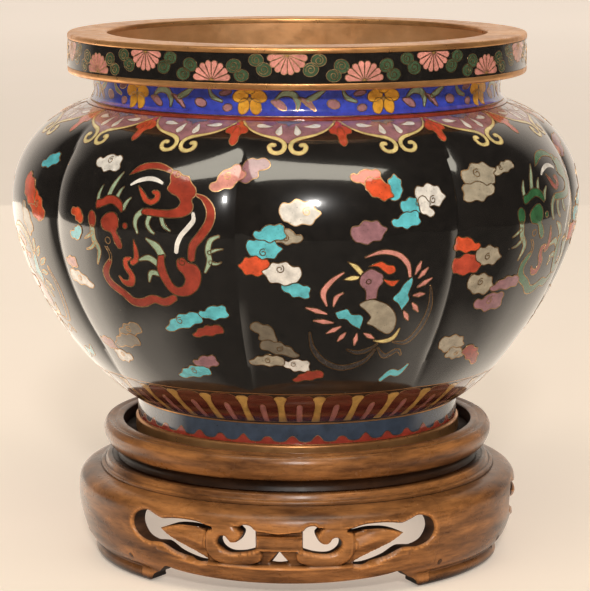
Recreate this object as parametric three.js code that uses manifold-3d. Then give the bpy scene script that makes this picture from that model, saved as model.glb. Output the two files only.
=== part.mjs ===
// A lobed cloisonne jardiniere on a carved three-footed wooden stand.
// Millimetres, +Z up. The origin is on the ground at the middle of the stand.
// Angles are azimuths about +Z: 0 faces -Y, and positive angles turn towards +X.

import * as THREE from 'three';
import { mergeVertices } from 'three/addons/utils/BufferGeometryUtils.js';
import Module from 'manifold-3d';

const wasm = await Module();
wasm.setup();

// ---------------------------------------------------------------- driving dimensions

const GAP = 0.3;                    // clearance between pieces that touch
const LAYER_GAP = 0.45;             // clearance between the layers of the lobed wall
const DEGREE = Math.PI / 180;

// Vase body
const LOBES = 8;
const FIRST_CREASE = -12 * DEGREE;  // azimuth of one of the creases between the lobes
const CREASE_DEPTH = 0.029;         // depth of a crease as a share of the radius
const BELLY_RADIUS = 108.4;
const BELLY_HEIGHT = 136.3;         // height of the widest place
const CREASE_STARTS = [64, 90];     // heights between which a crease grows, from the foot up
const CREASE_ENDS = [158, 173];     // heights between which it fades again
const SHOULDER_RADIUS = 79.5;
const SHOULDER_HEIGHT = 173.3;
const BASE_RADIUS = 62.2;           // where the wall meets the foot
const ENAMEL = 1.0;                 // thickness of the fired enamel
const COPPER = 1.4;                 // thickness of the spun copper
const COUNTER_ENAMEL = 0.8;         // thickness of the enamel on the inside

// Neck and rim
const NECK_RADIUS = 77.0;
const NECK_BASE = 174.5;
const NECK_TOP = 185.7;
const RIM_RADIUS = 87.0;
const RIM_BOTTOM = 186.0;
const RIM_TOP = 199.6;
const RIM_BEAD = 2.5;               // height of the copper bead below the rim's enamel
const RIM_FLANGE = 2.2;             // height of the copper flange above it
const RIM_SHEET = 1.2;
const LINING = 0.9;                 // thickness of the copper that lines the mouth
const LINING_DROP = 1.5;            // how far the lining reaches below the rim
const MOUTH_RADIUS = 72.0;

// Foot
const FOOT_RADIUS = 62.4;
const FOOT_TOP = 60.9;
const FOOT_BEAD_TOP = 52.6;
const FOOT_WALL = 2.0;
const PLATE_RADIUS = 60.0;
const FLOOR_RADIUS = 58.0;          // flat part of the vase's floor

// Stand
const SEAT_RADIUS = 67.0;
const SEAT_TOP = 46.5;
const SEAT_BOTTOM = 42.7;
const RING_INSIDE = 62.0;           // inner radius of the stand's rings
const STAND_RADIUS = 84.5;
const DRUM_WALL = 6.0;
const DRUM_TOP = 33.3;
const FEET = 3;
const FIRST_APRON = -4.6 * DEGREE;
const APRON_HALF = 43 * DEGREE;     // half the arc of an apron
const FRETWORK_RADIUS = 83.0;       // radius on which the fretwork's widths are measured
const PEG_RADIUS = 1.1;
const PEG_HEIGHT = 8.8;
const PEG_ENDS = [72.5, 80.4];      // radii between which a peg reaches
const PEG_OFFSET = 45 * DEGREE;     // from the middle of an apron

// Facets round the axis
const LOBED_FACETS = 40;
const ROUND_FACETS = 40;
const DRUM_FACETS = 36;

// ---------------------------------------------------------------- materials

const finish = {
  copper: { color: 0xb9703f, roughness: 0.32, metalness: 1.0 },
  black: { color: 0x0b0a09, roughness: 0.08, metalness: 0.0 },
  cobalt: { color: 0x39479f, roughness: 0.1, metalness: 0.0 },
  red: { color: 0x8d2d1c, roughness: 0.1, metalness: 0.0 },
  maroon: { color: 0x5c261d, roughness: 0.1, metalness: 0.0 },
  slate: { color: 0x32404f, roughness: 0.1, metalness: 0.0 },
  blue: { color: 0x4f8fa5, roughness: 0.15, metalness: 0.0 },
  wood: { color: 0x7a4a2b, roughness: 0.4, metalness: 0.0 },
  darkWood: { color: 0x3a2213, roughness: 0.5, metalness: 0.0 },
};

const part = new THREE.Group();
const stand = new THREE.Group();
const vase = new THREE.Group();
part.add(stand, vase);

function place(group, name, geometry, finishName) {
  const mesh = new THREE.Mesh(geometry, new THREE.MeshStandardMaterial(finish[finishName]));
  mesh.name = name;
  group.add(mesh);
  return mesh;
}

// ---------------------------------------------------------------- geometry helpers

// Keeps positions only, so that shared corners merge into one closed surface.
function welded(geometry) {
  geometry.deleteAttribute('normal');
  geometry.deleteAttribute('uv');
  return mergeVertices(geometry, 1e-4);
}

// Turns an outline of [radius, height] points about +Z. The outline runs anticlockwise, with
// the radius to the right and the height up. It closes on itself, unless it starts on the axis.
function turned(outline, facets = ROUND_FACETS, start = FIRST_CREASE) {
  const points = outline.map(([radius, height]) => new THREE.Vector2(radius, height));
  if (outline[0][0] > 0) {
    points.push(points[0].clone());
  }
  const geometry = new THREE.LatheGeometry(points, facets, start, 2 * Math.PI);
  geometry.rotateX(Math.PI / 2);
  return welded(geometry);
}

function toSolid(geometry) {
  const closed = welded(geometry);
  return new wasm.Manifold(new wasm.Mesh({
    numProp: 3,
    vertProperties: new Float32Array(closed.attributes.position.array),
    triVerts: new Uint32Array(closed.index.array),
  }));
}

function toGeometry(solid) {
  const mesh = solid.getMesh();
  const geometry = new THREE.BufferGeometry();
  geometry.setAttribute('position', new THREE.BufferAttribute(new Float32Array(mesh.vertProperties), 3));
  geometry.setIndex(new THREE.BufferAttribute(new Uint32Array(mesh.triVerts), 1));
  return geometry;
}

// ---------------------------------------------------------------- the vase's wall

// The belly is two curves that meet at the widest place.
const belly = new THREE.Vector2(BELLY_RADIUS, BELLY_HEIGHT);
const shoulder = new THREE.CubicBezierCurve(
  belly,
  new THREE.Vector2(BELLY_RADIUS, BELLY_HEIGHT + 18.7),
  new THREE.Vector2(97.0, 168.5),
  new THREE.Vector2(SHOULDER_RADIUS, SHOULDER_HEIGHT),
);
const base = new THREE.CubicBezierCurve(
  belly,
  new THREE.Vector2(BELLY_RADIUS, BELLY_HEIGHT - 21.8),
  new THREE.Vector2(88.4, 77.9),
  new THREE.Vector2(BASE_RADIUS, FOOT_TOP),
);
const PETAL_TOP = 0.8;              // where the petal border ends, along the base curve
const BORDER_GAP = 0.008;           // from there to the enamel on either side, along the curve
const BORDER_WIRE = 0.003;          // half the width of the wire between them

// How much of the crease's full depth is left at a height: it fades at the neck and the foot.
function creaseShare(height) {
  const up = THREE.MathUtils.smoothstep(height, ...CREASE_STARTS);
  const down = 1 - THREE.MathUtils.smoothstep(height, ...CREASE_ENDS);
  return up * down;
}

// A row of the wall at a depth below the outer surface.
function row(curve, t, depth) {
  const point = curve.getPoint(t);
  const along = curve.getTangent(t);
  const outward = new THREE.Vector2(Math.abs(along.y), curve === shoulder ? -along.x : along.x);
  return {
    radius: point.x - outward.x * depth,
    height: point.y - outward.y * depth,
    share: creaseShare(point.y),
  };
}

function plainRow(radius, height) {
  return { radius, height, share: 0 };
}

// Turns a closed list of rows and presses the creases between the lobes into it.
function lobed(rows, closed = true) {
  const points = rows.map((item) => new THREE.Vector2(item.radius, item.height));
  const shares = rows.map((item) => item.share);
  if (closed) {
    points.push(points[0].clone());
    shares.push(shares[0]);
  }
  const geometry = new THREE.LatheGeometry(points, LOBED_FACETS, FIRST_CREASE, 2 * Math.PI);
  const position = geometry.attributes.position;
  const facetsPerLobe = LOBED_FACETS / LOBES;
  for (let i = 0; i < position.count; i += 1) {
    const column = Math.floor(i / points.length);
    const across = 2 * ((column % facetsPerLobe) / facetsPerLobe) - 1;
    const scale = 1 - CREASE_DEPTH * across * across * shares[i % points.length];
    position.setX(i, position.getX(i) * scale);
    position.setZ(i, position.getZ(i) * scale);
  }
  geometry.rotateX(Math.PI / 2);
  return welded(geometry);
}

// A skin between two depths. The places run down the wall, so that the rows run up the outside
// and then down the inside.
function skin(places, outerDepth, innerDepth) {
  const outer = places.map(([curve, t]) => row(curve, t, outerDepth)).reverse();
  const inner = places.map(([curve, t]) => row(curve, t, innerDepth));
  return [...outer, ...inner];
}

const copperDepth = ENAMEL + LAYER_GAP;
const copperInside = copperDepth + COPPER;
const counterDepth = copperInside + LAYER_GAP;
const counterInside = counterDepth + COUNTER_ENAMEL;

// Places along the two curves where the wall's facets meet.
const shoulderPlaces = [0.985, 0.82, 0.62, 0.35].map((t) => [shoulder, t]);
const basePlaces = [0, 0.25, 0.45, 0.6, 0.7].map((t) => [base, t]);

function makeBellyEnamel() {
  const places = [...shoulderPlaces, ...basePlaces, [base, PETAL_TOP - BORDER_GAP]];
  place(vase, 'belly_enamel', lobed(skin(places, 0, ENAMEL)), 'black');
}

function makePetalEnamel() {
  const places = [PETAL_TOP + BORDER_GAP, 0.9, 0.985].map((t) => [base, t]);
  place(vase, 'petal_border_enamel', lobed(skin(places, 0, ENAMEL)), 'maroon');
}

function makePetalWire() {
  const places = [PETAL_TOP - BORDER_WIRE, PETAL_TOP + BORDER_WIRE].map((t) => [base, t]);
  place(vase, 'petal_border_wire', lobed(skin(places, -0.1, ENAMEL)), 'copper');
}

// The spun copper body is one sheet from the foot to the top of the neck.
const neckCopper = NECK_RADIUS - ENAMEL - GAP;
const neckInside = neckCopper - COPPER;
const copperTop = RIM_TOP - RIM_FLANGE - GAP;

function makeCopperBody() {
  const places = [...shoulderPlaces, ...basePlaces, [base, PETAL_TOP], [base, 0.99]];
  const [outer, inner] = [copperDepth, copperInside].map(
    (depth) => places.map(([curve, t]) => row(curve, t, depth)),
  );
  const rows = [
    ...outer.reverse(),
    plainRow(neckCopper, NECK_BASE - 1.2),
    plainRow(neckCopper, copperTop),
    plainRow(neckInside, copperTop),
    plainRow(neckInside, NECK_BASE - 2.6),
    ...inner,
  ];
  place(vase, 'copper_body', lobed(rows), 'copper');
}

const PLATE_BOTTOM = FOOT_TOP + 0.7;
const PLATE_TOP = PLATE_BOTTOM + COPPER;

function makeCounterEnamel() {
  const places = [...shoulderPlaces, ...basePlaces, [base, PETAL_TOP], [base, 0.95]];
  const outer = places.map(([curve, t]) => row(curve, t, counterDepth)).reverse();
  const inner = places.map(([curve, t]) => row(curve, t, counterInside));
  const neckOuter = neckInside - GAP;
  const rows = [
    plainRow(0, PLATE_TOP + GAP),
    plainRow(FLOOR_RADIUS, PLATE_TOP + GAP),
    ...outer,
    plainRow(neckOuter, NECK_BASE - 4),
    plainRow(neckOuter, copperTop),
    plainRow(neckOuter - COUNTER_ENAMEL, copperTop),
    plainRow(neckOuter - COUNTER_ENAMEL, NECK_BASE - 5),
    ...inner,
    plainRow(FLOOR_RADIUS, PLATE_TOP + GAP + COUNTER_ENAMEL),
    plainRow(0, PLATE_TOP + GAP + COUNTER_ENAMEL),
  ];
  place(vase, 'inside_counter_enamel', lobed(rows, false), 'blue');
}

function makeBasePlate() {
  const outline = [
    [0, PLATE_BOTTOM],
    [PLATE_RADIUS, PLATE_BOTTOM],
    [PLATE_RADIUS, PLATE_TOP],
    [0, PLATE_TOP],
  ];
  place(vase, 'base_plate', turned(outline), 'copper');
}

// ---------------------------------------------------------------- neck, rim and foot

function makeNeck() {
  const neckInner = NECK_RADIUS - ENAMEL;
  const border = [
    [neckInner + 0.3, NECK_BASE - 1.2],
    [79.2, NECK_BASE - 1.85],
    [79.5, NECK_BASE - 1.0],
    [78.5, NECK_BASE - 0.1],
    [neckInner + 0.3, NECK_BASE - 0.1],
  ];
  place(vase, 'shoulder_border_enamel', turned(border), 'red');
  const wire = [
    [neckInner, NECK_BASE + 0.2],
    [NECK_RADIUS + 1.4, NECK_BASE + 0.2],
    [NECK_RADIUS + 1.4, NECK_BASE + 0.6],
    [neckInner, NECK_BASE + 0.6],
  ];
  place(vase, 'neck_base_wire', turned(wire), 'copper');
  const enamel = [
    [neckInner, NECK_BASE + 0.9],
    [NECK_RADIUS + 1.1, NECK_BASE + 0.9],
    [NECK_RADIUS + 0.3, NECK_BASE + 1.7],
    [NECK_RADIUS, NECK_BASE + 3.0],
    [NECK_RADIUS, NECK_TOP],
    [neckInner, NECK_TOP],
  ];
  place(vase, 'neck_enamel', turned(enamel), 'cobalt');
}

// The rim is a folded copper channel soldered round the neck, with enamel on its outer wall.
// Its flange turns down again inside the mouth and lines the neck.
function makeRim() {
  const wall = RIM_RADIUS - ENAMEL - GAP;
  const flange = RIM_TOP - RIM_FLANGE;
  const liningBottom = RIM_BOTTOM - LINING_DROP;
  const channel = [
    [neckCopper + GAP, RIM_BOTTOM],
    [RIM_RADIUS - 1, RIM_BOTTOM],
    [RIM_RADIUS, RIM_BOTTOM + 1],
    [RIM_RADIUS, RIM_BOTTOM + RIM_BEAD],
    [wall, RIM_BOTTOM + RIM_BEAD],
    [wall, flange],
    [RIM_RADIUS, flange],
    [RIM_RADIUS, RIM_TOP - 1],
    [RIM_RADIUS - 1, RIM_TOP],
    [MOUTH_RADIUS + 1, RIM_TOP],
    [MOUTH_RADIUS, RIM_TOP - 1],
    [MOUTH_RADIUS, liningBottom],
    [MOUTH_RADIUS + LINING, liningBottom],
    [MOUTH_RADIUS + LINING, flange],
    [wall - RIM_SHEET, flange],
    [wall - RIM_SHEET, RIM_BOTTOM + RIM_SHEET],
    [neckCopper + GAP, RIM_BOTTOM + RIM_SHEET],
  ];
  place(vase, 'rim_collar', turned(channel), 'copper');
  const enamel = [
    [wall + GAP, RIM_BOTTOM + RIM_BEAD + GAP],
    [RIM_RADIUS - 0.1, RIM_BOTTOM + RIM_BEAD + GAP],
    [RIM_RADIUS - 0.1, flange - GAP],
    [wall + GAP, flange - GAP],
  ];
  place(vase, 'rim_enamel', turned(enamel), 'black');
}

function makeFoot() {
  const wall = FOOT_RADIUS - 0.8 - ENAMEL - GAP;
  const bottom = SEAT_TOP + GAP;
  const ring = [
    [wall - FOOT_WALL, bottom],
    [FOOT_RADIUS - 0.6, bottom],
    [FOOT_RADIUS, bottom + 0.8],
    [FOOT_RADIUS, FOOT_BEAD_TOP - 0.8],
    [FOOT_RADIUS - 0.6, FOOT_BEAD_TOP],
    [wall, FOOT_BEAD_TOP],
    [wall, FOOT_TOP + 0.3],
    [wall - FOOT_WALL, FOOT_TOP + 0.3],
  ];
  place(vase, 'foot_ring', turned(ring), 'copper');
  const enamel = [
    [wall + GAP, FOOT_BEAD_TOP + GAP],
    [wall + GAP + ENAMEL, FOOT_BEAD_TOP + GAP],
    [wall + GAP + ENAMEL, FOOT_TOP - 0.8],
    [wall + GAP, FOOT_TOP - 0.8],
  ];
  place(vase, 'foot_enamel', turned(enamel), 'slate');
  const wire = [
    [wall + GAP, FOOT_TOP - 0.5],
    [FOOT_RADIUS - 0.4, FOOT_TOP - 0.5],
    [FOOT_RADIUS - 0.4, FOOT_TOP],
    [wall + GAP, FOOT_TOP],
  ];
  place(vase, 'foot_wire', turned(wire), 'copper');
  const underside = [
    [0, PLATE_BOTTOM - GAP - COUNTER_ENAMEL],
    [wall - FOOT_WALL - GAP, PLATE_BOTTOM - GAP - COUNTER_ENAMEL],
    [wall - FOOT_WALL - GAP, PLATE_BOTTOM - GAP],
    [0, PLATE_BOTTOM - GAP],
  ];
  place(vase, 'underside_counter_enamel', turned(underside), 'blue');
}

// ---------------------------------------------------------------- the stand's rings

function makeStandTop() {
  const ring = [
    [RING_INSIDE, 41.4],
    [72.0, 41.4],
    [73.4, 43.2],
    [74.7, 46.6],
    [74.5, 49.2],
    [73.0, 50.8],
    [70.7, 50.3],
    [69.4, 51.2],
    [SEAT_RADIUS, 50.8],
    [SEAT_RADIUS, SEAT_BOTTOM - GAP],
    [RING_INSIDE, SEAT_BOTTOM - GAP],
  ];
  place(stand, 'stand_top_ring', turned(ring), 'wood');
  const board = [
    [0, SEAT_BOTTOM],
    [SEAT_RADIUS - GAP, SEAT_BOTTOM],
    [SEAT_RADIUS - GAP, SEAT_TOP],
    [0, SEAT_TOP],
  ];
  place(stand, 'seat_board', turned(board), 'wood');
  const waist = [
    [RING_INSIDE + 1, 37.3],
    [69.0, 37.3],
    [68.4, 39.2],
    [69.0, 41.1],
    [RING_INSIDE + 1, 41.1],
  ];
  place(stand, 'waist_ring', turned(waist), 'darkWood');
  const step = [
    [RING_INSIDE, DRUM_TOP + GAP],
    [75.9, DRUM_TOP + GAP],
    [75.6, 34.9],
    [73.8, 35.4],
    [73.2, 37.0],
    [RING_INSIDE, 37.0],
  ];
  place(stand, 'shoulder_ring', turned(step), 'wood');
}

// ---------------------------------------------------------------- the stand's drum

// Outside of the drum, from the foot up to the shoulder.
const drumOutside = [
  [77.4, 4.2],
  [80.8, 8.5],
  [83.0, 14.5],
  [84.2, 20.0],
  [STAND_RADIUS, 26.5],
  [82.8, 31.3],
  [79.8, 32.8],
  [76.0, DRUM_TOP],
];

const drumInside = [
  [64.0, DRUM_TOP],
  [64.0, 30.5],
  [STAND_RADIUS - DRUM_WALL, 28.0],
  [83.0 - DRUM_WALL, 14.5],
  [70.0, 3.0],
];

const apronOutline = [[72.0, 0], [76.4, 0], ...drumOutside, ...drumInside];
const toeOutline = [[69.0, 0], [77.6, 0], [78.4, 1.2], [78.4, 3.0]];
const legOutline = [...toeOutline, ...drumOutside, ...drumInside];

// A wedge from the axis outwards, centred on an azimuth.
function wedge(middle, half) {
  const reach = 200;
  const corners = [-half, 0, half].map((offset) => {
    const angle = middle + offset;
    return new THREE.Vector2(reach * Math.sin(angle), -reach * Math.cos(angle));
  });
  const shape = new THREE.Shape([new THREE.Vector2(0, 0), ...corners]);
  const geometry = new THREE.ExtrudeGeometry(shape, { depth: 60, bevelEnabled: false });
  geometry.translate(0, 0, -10);
  return toSolid(geometry);
}

// A cutter through the drum's wall. Its outline is [arc, height] on the fretwork's radius.
function fretCutter(outline, middle) {
  const near = 60;
  const far = 160;
  const shape = new THREE.Shape(outline.map(([arc, height]) => new THREE.Vector2(arc, height)));
  const geometry = new THREE.ExtrudeGeometry(shape, { depth: 1, bevelEnabled: false });
  const position = geometry.attributes.position;
  for (let i = 0; i < position.count; i += 1) {
    const angle = middle + position.getX(i) / FRETWORK_RADIUS;
    const height = position.getY(i);
    const radius = position.getZ(i) > 0.5 ? far : near;
    position.setXYZ(i, radius * Math.sin(angle), -radius * Math.cos(angle), height);
  }
  return toSolid(geometry);
}

function mirrored(outline) {
  return outline.map(([arc, height]) => [-arc, height]).reverse();
}

// The pierced shapes on one side of an apron, from its middle outwards.
const eyeAndSlits = [
  [27.6, 11.9],
  [33.0, 12.0],
  [40.0, 14.1],
  [45.6, 16.9],
  [53.0, 16.7],
  [57.6, 18.4],
  [60.0, 22.6],
  [58.2, 27.2],
  [53.0, 29.2],
  [47.5, 27.6],
  [42.0, 28.6],
  [34.0, 28.8],
  [28.0, 27.2],
  [25.0, 25.2],
  [30.0, 25.0],
  [37.0, 25.4],
  [42.5, 24.6],
  [46.5, 23.2],
  [42.0, 20.2],
  [35.0, 16.4],
];

const scrollHole = [
  [8.8, 18.2],
  [13.5, 16.8],
  [19.0, 17.0],
  [22.2, 19.4],
  [21.8, 22.4],
  [19.2, 22.8],
  [17.4, 20.6],
  [14.8, 21.6],
  [13.4, 24.4],
  [15.2, 26.6],
  [12.8, 27.8],
  [8.8, 26.2],
];

const middleHole = [
  [-2.9, 12.8],
  [2.9, 12.8],
  [1.2, 15.4],
  [0, 16.9],
  [-1.2, 15.4],
];

// Everything under an apron's lower edge, which rises to a notch beside each foot.
const lowerEdge = [
  [0, 5.0],
  [18, 5.3],
  [33, 6.2],
  [45.8, 7.4],
  [49.5, 6.2],
  [56.0, 3.4],
  [61.5, 1.8],
  [70.0, -1.0],
  [70.0, -5.0],
];

function makeAprons() {
  const solid = toSolid(turned(apronOutline, DRUM_FACETS, FIRST_APRON));
  const trim = GAP / 2 / STAND_RADIUS;
  const under = [...mirrored(lowerEdge), ...lowerEdge.slice(1)].reverse();
  const holes = [
    eyeAndSlits,
    mirrored(eyeAndSlits),
    scrollHole,
    mirrored(scrollHole),
    middleHole,
    under,
  ];
  for (let i = 0; i < FEET; i += 1) {
    const middle = FIRST_APRON + (i * 2 * Math.PI) / FEET;
    let apron = solid.intersect(wedge(middle, APRON_HALF - trim));
    holes.forEach((outline) => {
      apron = apron.subtract(fretCutter(outline, middle));
    });
    place(stand, `apron_${i + 1}`, toGeometry(apron), 'wood');
  }
}

function radialCylinder(radius, near, far, middle) {
  const geometry = new THREE.CylinderGeometry(radius, radius, far - near, 10);
  geometry.translate(0, -(near + far) / 2, 0);
  geometry.rotateZ(middle);
  geometry.translate(0, 0, PEG_HEIGHT);
  return geometry;
}

function makeLegs() {
  const solid = toSolid(turned(legOutline, DRUM_FACETS, FIRST_APRON));
  const legHalf = Math.PI / FEET - APRON_HALF;
  const trim = GAP / 2 / STAND_RADIUS;
  const pegAngle = Math.PI / FEET - PEG_OFFSET;
  for (let i = 0; i < FEET; i += 1) {
    const middle = FIRST_APRON + ((2 * i + 1) * Math.PI) / FEET;
    let leg = solid.intersect(wedge(middle, legHalf - trim));
    [-pegAngle, pegAngle].forEach((offset, side) => {
      const hole = radialCylinder(PEG_RADIUS + GAP, 60, 90, middle + offset);
      leg = leg.subtract(toSolid(hole));
      const peg = welded(radialCylinder(PEG_RADIUS, ...PEG_ENDS, middle + offset));
      place(stand, `leg_peg_${2 * i + side + 1}`, peg, 'darkWood');
    });
    place(stand, `leg_${i + 1}`, toGeometry(leg), 'wood');
  }
}

makeCopperBody();
makeBasePlate();
makeBellyEnamel();
makePetalEnamel();
makePetalWire();
makeCounterEnamel();
makeNeck();
makeRim();
makeFoot();
makeStandTop();
makeAprons();
makeLegs();

export default part;
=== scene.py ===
"""Looks of a lobed cloisonne jardiniere on a carved three-footed wooden stand.

The ornament is laid out flat in millimetres, u round the vase and v up it, and is then
wrapped on the turned surfaces. Azimuth 0 faces -Y.
"""
import math

import bpy
import numpy as np
from mathutils.geometry import delaunay_2d_cdt
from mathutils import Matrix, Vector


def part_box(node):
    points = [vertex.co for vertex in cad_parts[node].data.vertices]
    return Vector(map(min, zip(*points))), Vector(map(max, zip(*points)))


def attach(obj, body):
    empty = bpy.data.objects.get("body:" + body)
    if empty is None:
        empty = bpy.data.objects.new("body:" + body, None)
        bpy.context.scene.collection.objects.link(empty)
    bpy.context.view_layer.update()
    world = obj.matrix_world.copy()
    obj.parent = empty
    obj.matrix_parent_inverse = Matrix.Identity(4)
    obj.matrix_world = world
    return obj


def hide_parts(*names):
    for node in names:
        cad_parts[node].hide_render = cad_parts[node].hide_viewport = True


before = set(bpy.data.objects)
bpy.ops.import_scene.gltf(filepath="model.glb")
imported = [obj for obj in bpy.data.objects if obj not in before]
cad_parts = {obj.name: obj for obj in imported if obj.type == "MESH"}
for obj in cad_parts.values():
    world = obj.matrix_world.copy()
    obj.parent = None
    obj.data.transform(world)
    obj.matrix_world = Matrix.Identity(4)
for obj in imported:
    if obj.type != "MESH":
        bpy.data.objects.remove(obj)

MM = 0.001
TURN = 2 * math.pi
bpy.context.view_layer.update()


# ------------------------------------------------------------------ sizes, in millimetres

def top_of(node):
    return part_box(node)[1].z / MM


def bottom_of(node):
    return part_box(node)[0].z / MM


def radius_of(node):
    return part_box(node)[1].x / MM


LOBES = 8
LOBE_ANGLE = TURN / LOBES
FIRST_CREASE = math.radians(-12)
CREASE_DEPTH = 0.029            # how far a crease sinks in, as a share of the radius
CREASE_ROUND = 0.012            # the extra turn of the wall close to a crease
CREASE_RISE = (64, 90)          # the heights between which the creases grow in
CREASE_FALL = (158, 173)        # and those between which they die out
BELLY_RADIUS = 108.4
BELLY_HEIGHT = 136.3
FOOT_TOP = 60.9
SHOULDER_EDGE = (79.5, 173.3)
PETAL_TOP = -69.6               # v of the wire above the petal border

RIM_TOP = top_of("rim_collar")
RIM_BOTTOM = bottom_of("rim_collar")
RIM_RADIUS = radius_of("rim_collar")
RIM_WALL = RIM_RADIUS - 1.3     # the rim's sheet behind its enamel
NECK_BASE = 174.5
NECK_RADIUS = 77.0
MOUTH_RADIUS = 72.0
FOOT_RADIUS = radius_of("foot_ring")
FOOT_BOTTOM = bottom_of("foot_ring")
FOOT_BEAD_TOP = 52.6
FOOT_WALL = FOOT_RADIUS - 2.1

CELL_LIFT = 0.03                # polished cells stand this proud of the ground enamel
WIRE_RISE = 0.035               # a wire stands this proud of its cell
UPPER_CELL = CELL_LIFT + WIRE_RISE
CELL_STEP = WIRE_RISE + 0.015   # cells that may overlap differ by this, to share no surface
LAID_WIRE = 0.1                 # the lift of a wire laid over a cell
HIGH_WIRE = 0.12                # and of one laid over an upper cell
CELL_DEPTH = 0.3
WIRE_WIDTH = 0.36
THIN_WIRE = 0.26
FINE_WIRE = 0.2


# ------------------------------------------------------------------ materials

def rgba(colour):
    """Four channels, from a colour or from one value for a grey."""
    return (*np.broadcast_to(colour, 3), 1)


def scaled(colour, factor):
    return tuple(min(1.0, channel * factor) for channel in colour)


class Look:
    """The nodes of a material or of the world, added one call at a time."""

    def __init__(self, owner, shader="Principled BSDF"):
        owner.use_nodes = True
        self.owner = owner
        self.tree = owner.node_tree
        self.shader = self.tree.nodes[shader]

    def feed(self, node, inputs):
        """Links the inputs that are given as sockets and writes the plain values in."""
        for name, value in inputs.items():
            if isinstance(value, bpy.types.NodeSocket):
                self.tree.links.new(value, node.inputs[name])
            else:
                node.inputs[name].default_value = value

    def add(self, kind, inputs, **settings):
        """The outputs of a new node."""
        node = self.tree.nodes.new("ShaderNode" + kind)
        for name, value in settings.items():
            setattr(node, name, value)
        self.feed(node, inputs)
        return node.outputs

    def place(self, space="Object"):
        return self.add("TexCoord", {})[space]

    def axes(self, space="Object"):
        return self.add("SeparateXYZ", {"Vector": self.place(space)})

    def noise(self, scale, detail=3, rough=0.5, stretch=(1, 1, 1)):
        place = self.add("Mapping", {"Vector": self.place(), "Scale": stretch})["Vector"]
        inputs = {"Vector": place, "Scale": scale, "Detail": detail, "Roughness": rough}
        return self.add("TexNoise", inputs)["Fac"]

    def ramp(self, source, *stops):
        """A colour ramp through stops of (position, colour)."""
        node = self.tree.nodes.new("ShaderNodeValToRGB")
        elements = node.color_ramp.elements
        while len(elements) < len(stops):
            elements.new(0.5)
        for element, (position, colour) in zip(elements, stops):
            element.position = position
            element.color = rgba(colour)
        self.feed(node, {"Fac": source})
        return node.outputs["Color"]

    def span(self, source, low, high, start=0.3, end=0.7):
        """Takes the source's values from start to end to low to high."""
        inputs = {"Value": source, "From Min": start, "From Max": end, "To Min": low, "To Max": high}
        return self.add("MapRange", inputs)["Result"]

    def mix(self, kind, a, b, factor=1.0):
        inputs = {"A": a, "B": b, "Factor": factor}
        return self.add("Mix", inputs, data_type="RGBA", blend_type=kind)["Result"]

    def combine(self, kind, a, b):
        return self.add("Math", {0: a, 1: b}, operation=kind)["Value"]

    def bump(self, height, strength, depth):
        return self.add("Bump", {"Height": height, "Strength": strength, "Distance": depth})["Normal"]

    def shade(self, inputs):
        """Sets the shader's inputs and gives the finished material."""
        self.feed(self.shader, inputs)
        return self.owner


def enamel(name, colour, dust):
    """Polished glass enamel: clouded colour, tiny pits, a slightly wavy ground surface."""
    look = Look(bpy.data.materials.new("enamel_" + name))
    shades = (0.3, scaled(colour, 0.7)), (0.52, colour), (0.72, scaled(colour, 1.3))
    tint = look.ramp(look.noise(260, 4, 0.6), *shades)
    pits = look.add("TexVoronoi", {"Scale": 700, "Vector": look.place()})
    tint = look.mix("MULTIPLY", tint, look.ramp(pits["Distance"], (0.1, (0.35, 0.33, 0.3)), (0.2, 1)), 0.6)
    if dust:
        specks = look.ramp(pits["Color"], (0.955, 0), (0.97, 1))
        dots = look.ramp(pits["Distance"], (0.16, (0.16, 0.14, 0.12)), (0.26, 0))
        tint = look.mix("ADD", tint, look.mix("MULTIPLY", specks, dots))
    return look.shade({
        "Base Color": tint,
        "Roughness": look.span(look.noise(900, 3, 0.6), 0.042, 0.096),
        "Normal": look.bump(look.noise(1400, 2), 0.12, 0.00004),
        "IOR": 1.72,
        "Coat Weight": 0.45,
        "Coat Roughness": 0.24,
    })


def metal(name, light, dark, roughness, scale, metallic=1.0):
    """Worn copper or wire: uneven patina, fine turning marks round the axis."""
    look = Look(bpy.data.materials.new(name))
    return look.shade({
        "Base Color": look.ramp(look.noise(scale, 5, 0.62, (1, 1, 2.5)), (0.34, dark), (0.62, light)),
        "Roughness": look.span(look.noise(scale * 6, 3, 0.6), roughness * 0.75, roughness * 1.4),
        "Normal": look.bump(look.noise(40, 2, 0.5, (1, 1, 22)), 0.08, 0.00005),
        "Metallic": metallic,
    })


def timber(name, light, dark, roughness):
    """Polished hardwood: long grain, dark pores, hollows darkened with painted shade that also stands for
    dirt, ridges rubbed pale.
    """
    look = Look(bpy.data.materials.new(name))
    middle = tuple((a + b) / 2 for a, b in zip(light, dark))
    tint = look.ramp(look.noise(34, 8, 0.62, (1, 1, 5)), (0.34, dark), (0.5, middle), (0.64, light))
    pores = look.noise(420, 4, 0.7, (0.35, 0.35, 3))
    tint = look.mix("MULTIPLY", tint, look.ramp(pores, (0.36, (0.45, 0.42, 0.4)), (0.5, 1)), 0.55)
    wear = look.add("Attribute", {}, attribute_name="wear")["Fac"]
    tint = look.mix("MIX", tint, rgba(scaled(light, 1.3)), wear)
    # painted shade: the colour darkens where ambient occlusion finds hollows, for dirt there and for the
    # shade that falls there
    hollows = look.add("AmbientOcclusion", {"Distance": 0.008}, samples=8)["AO"]
    dirt_and_shade = look.ramp(hollows, (0.4, (0.13, 0.09, 0.07)), (0.86, 1))
    return look.shade({
        "Base Color": look.mix("MULTIPLY", tint, dirt_and_shade),
        "Roughness": look.span(look.noise(55, 4, 0.6), roughness * 0.8, roughness * 1.35),
        "Normal": look.bump(pores, 0.25, 0.0001),
        "Specular IOR Level": 0.33,
    })


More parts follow.
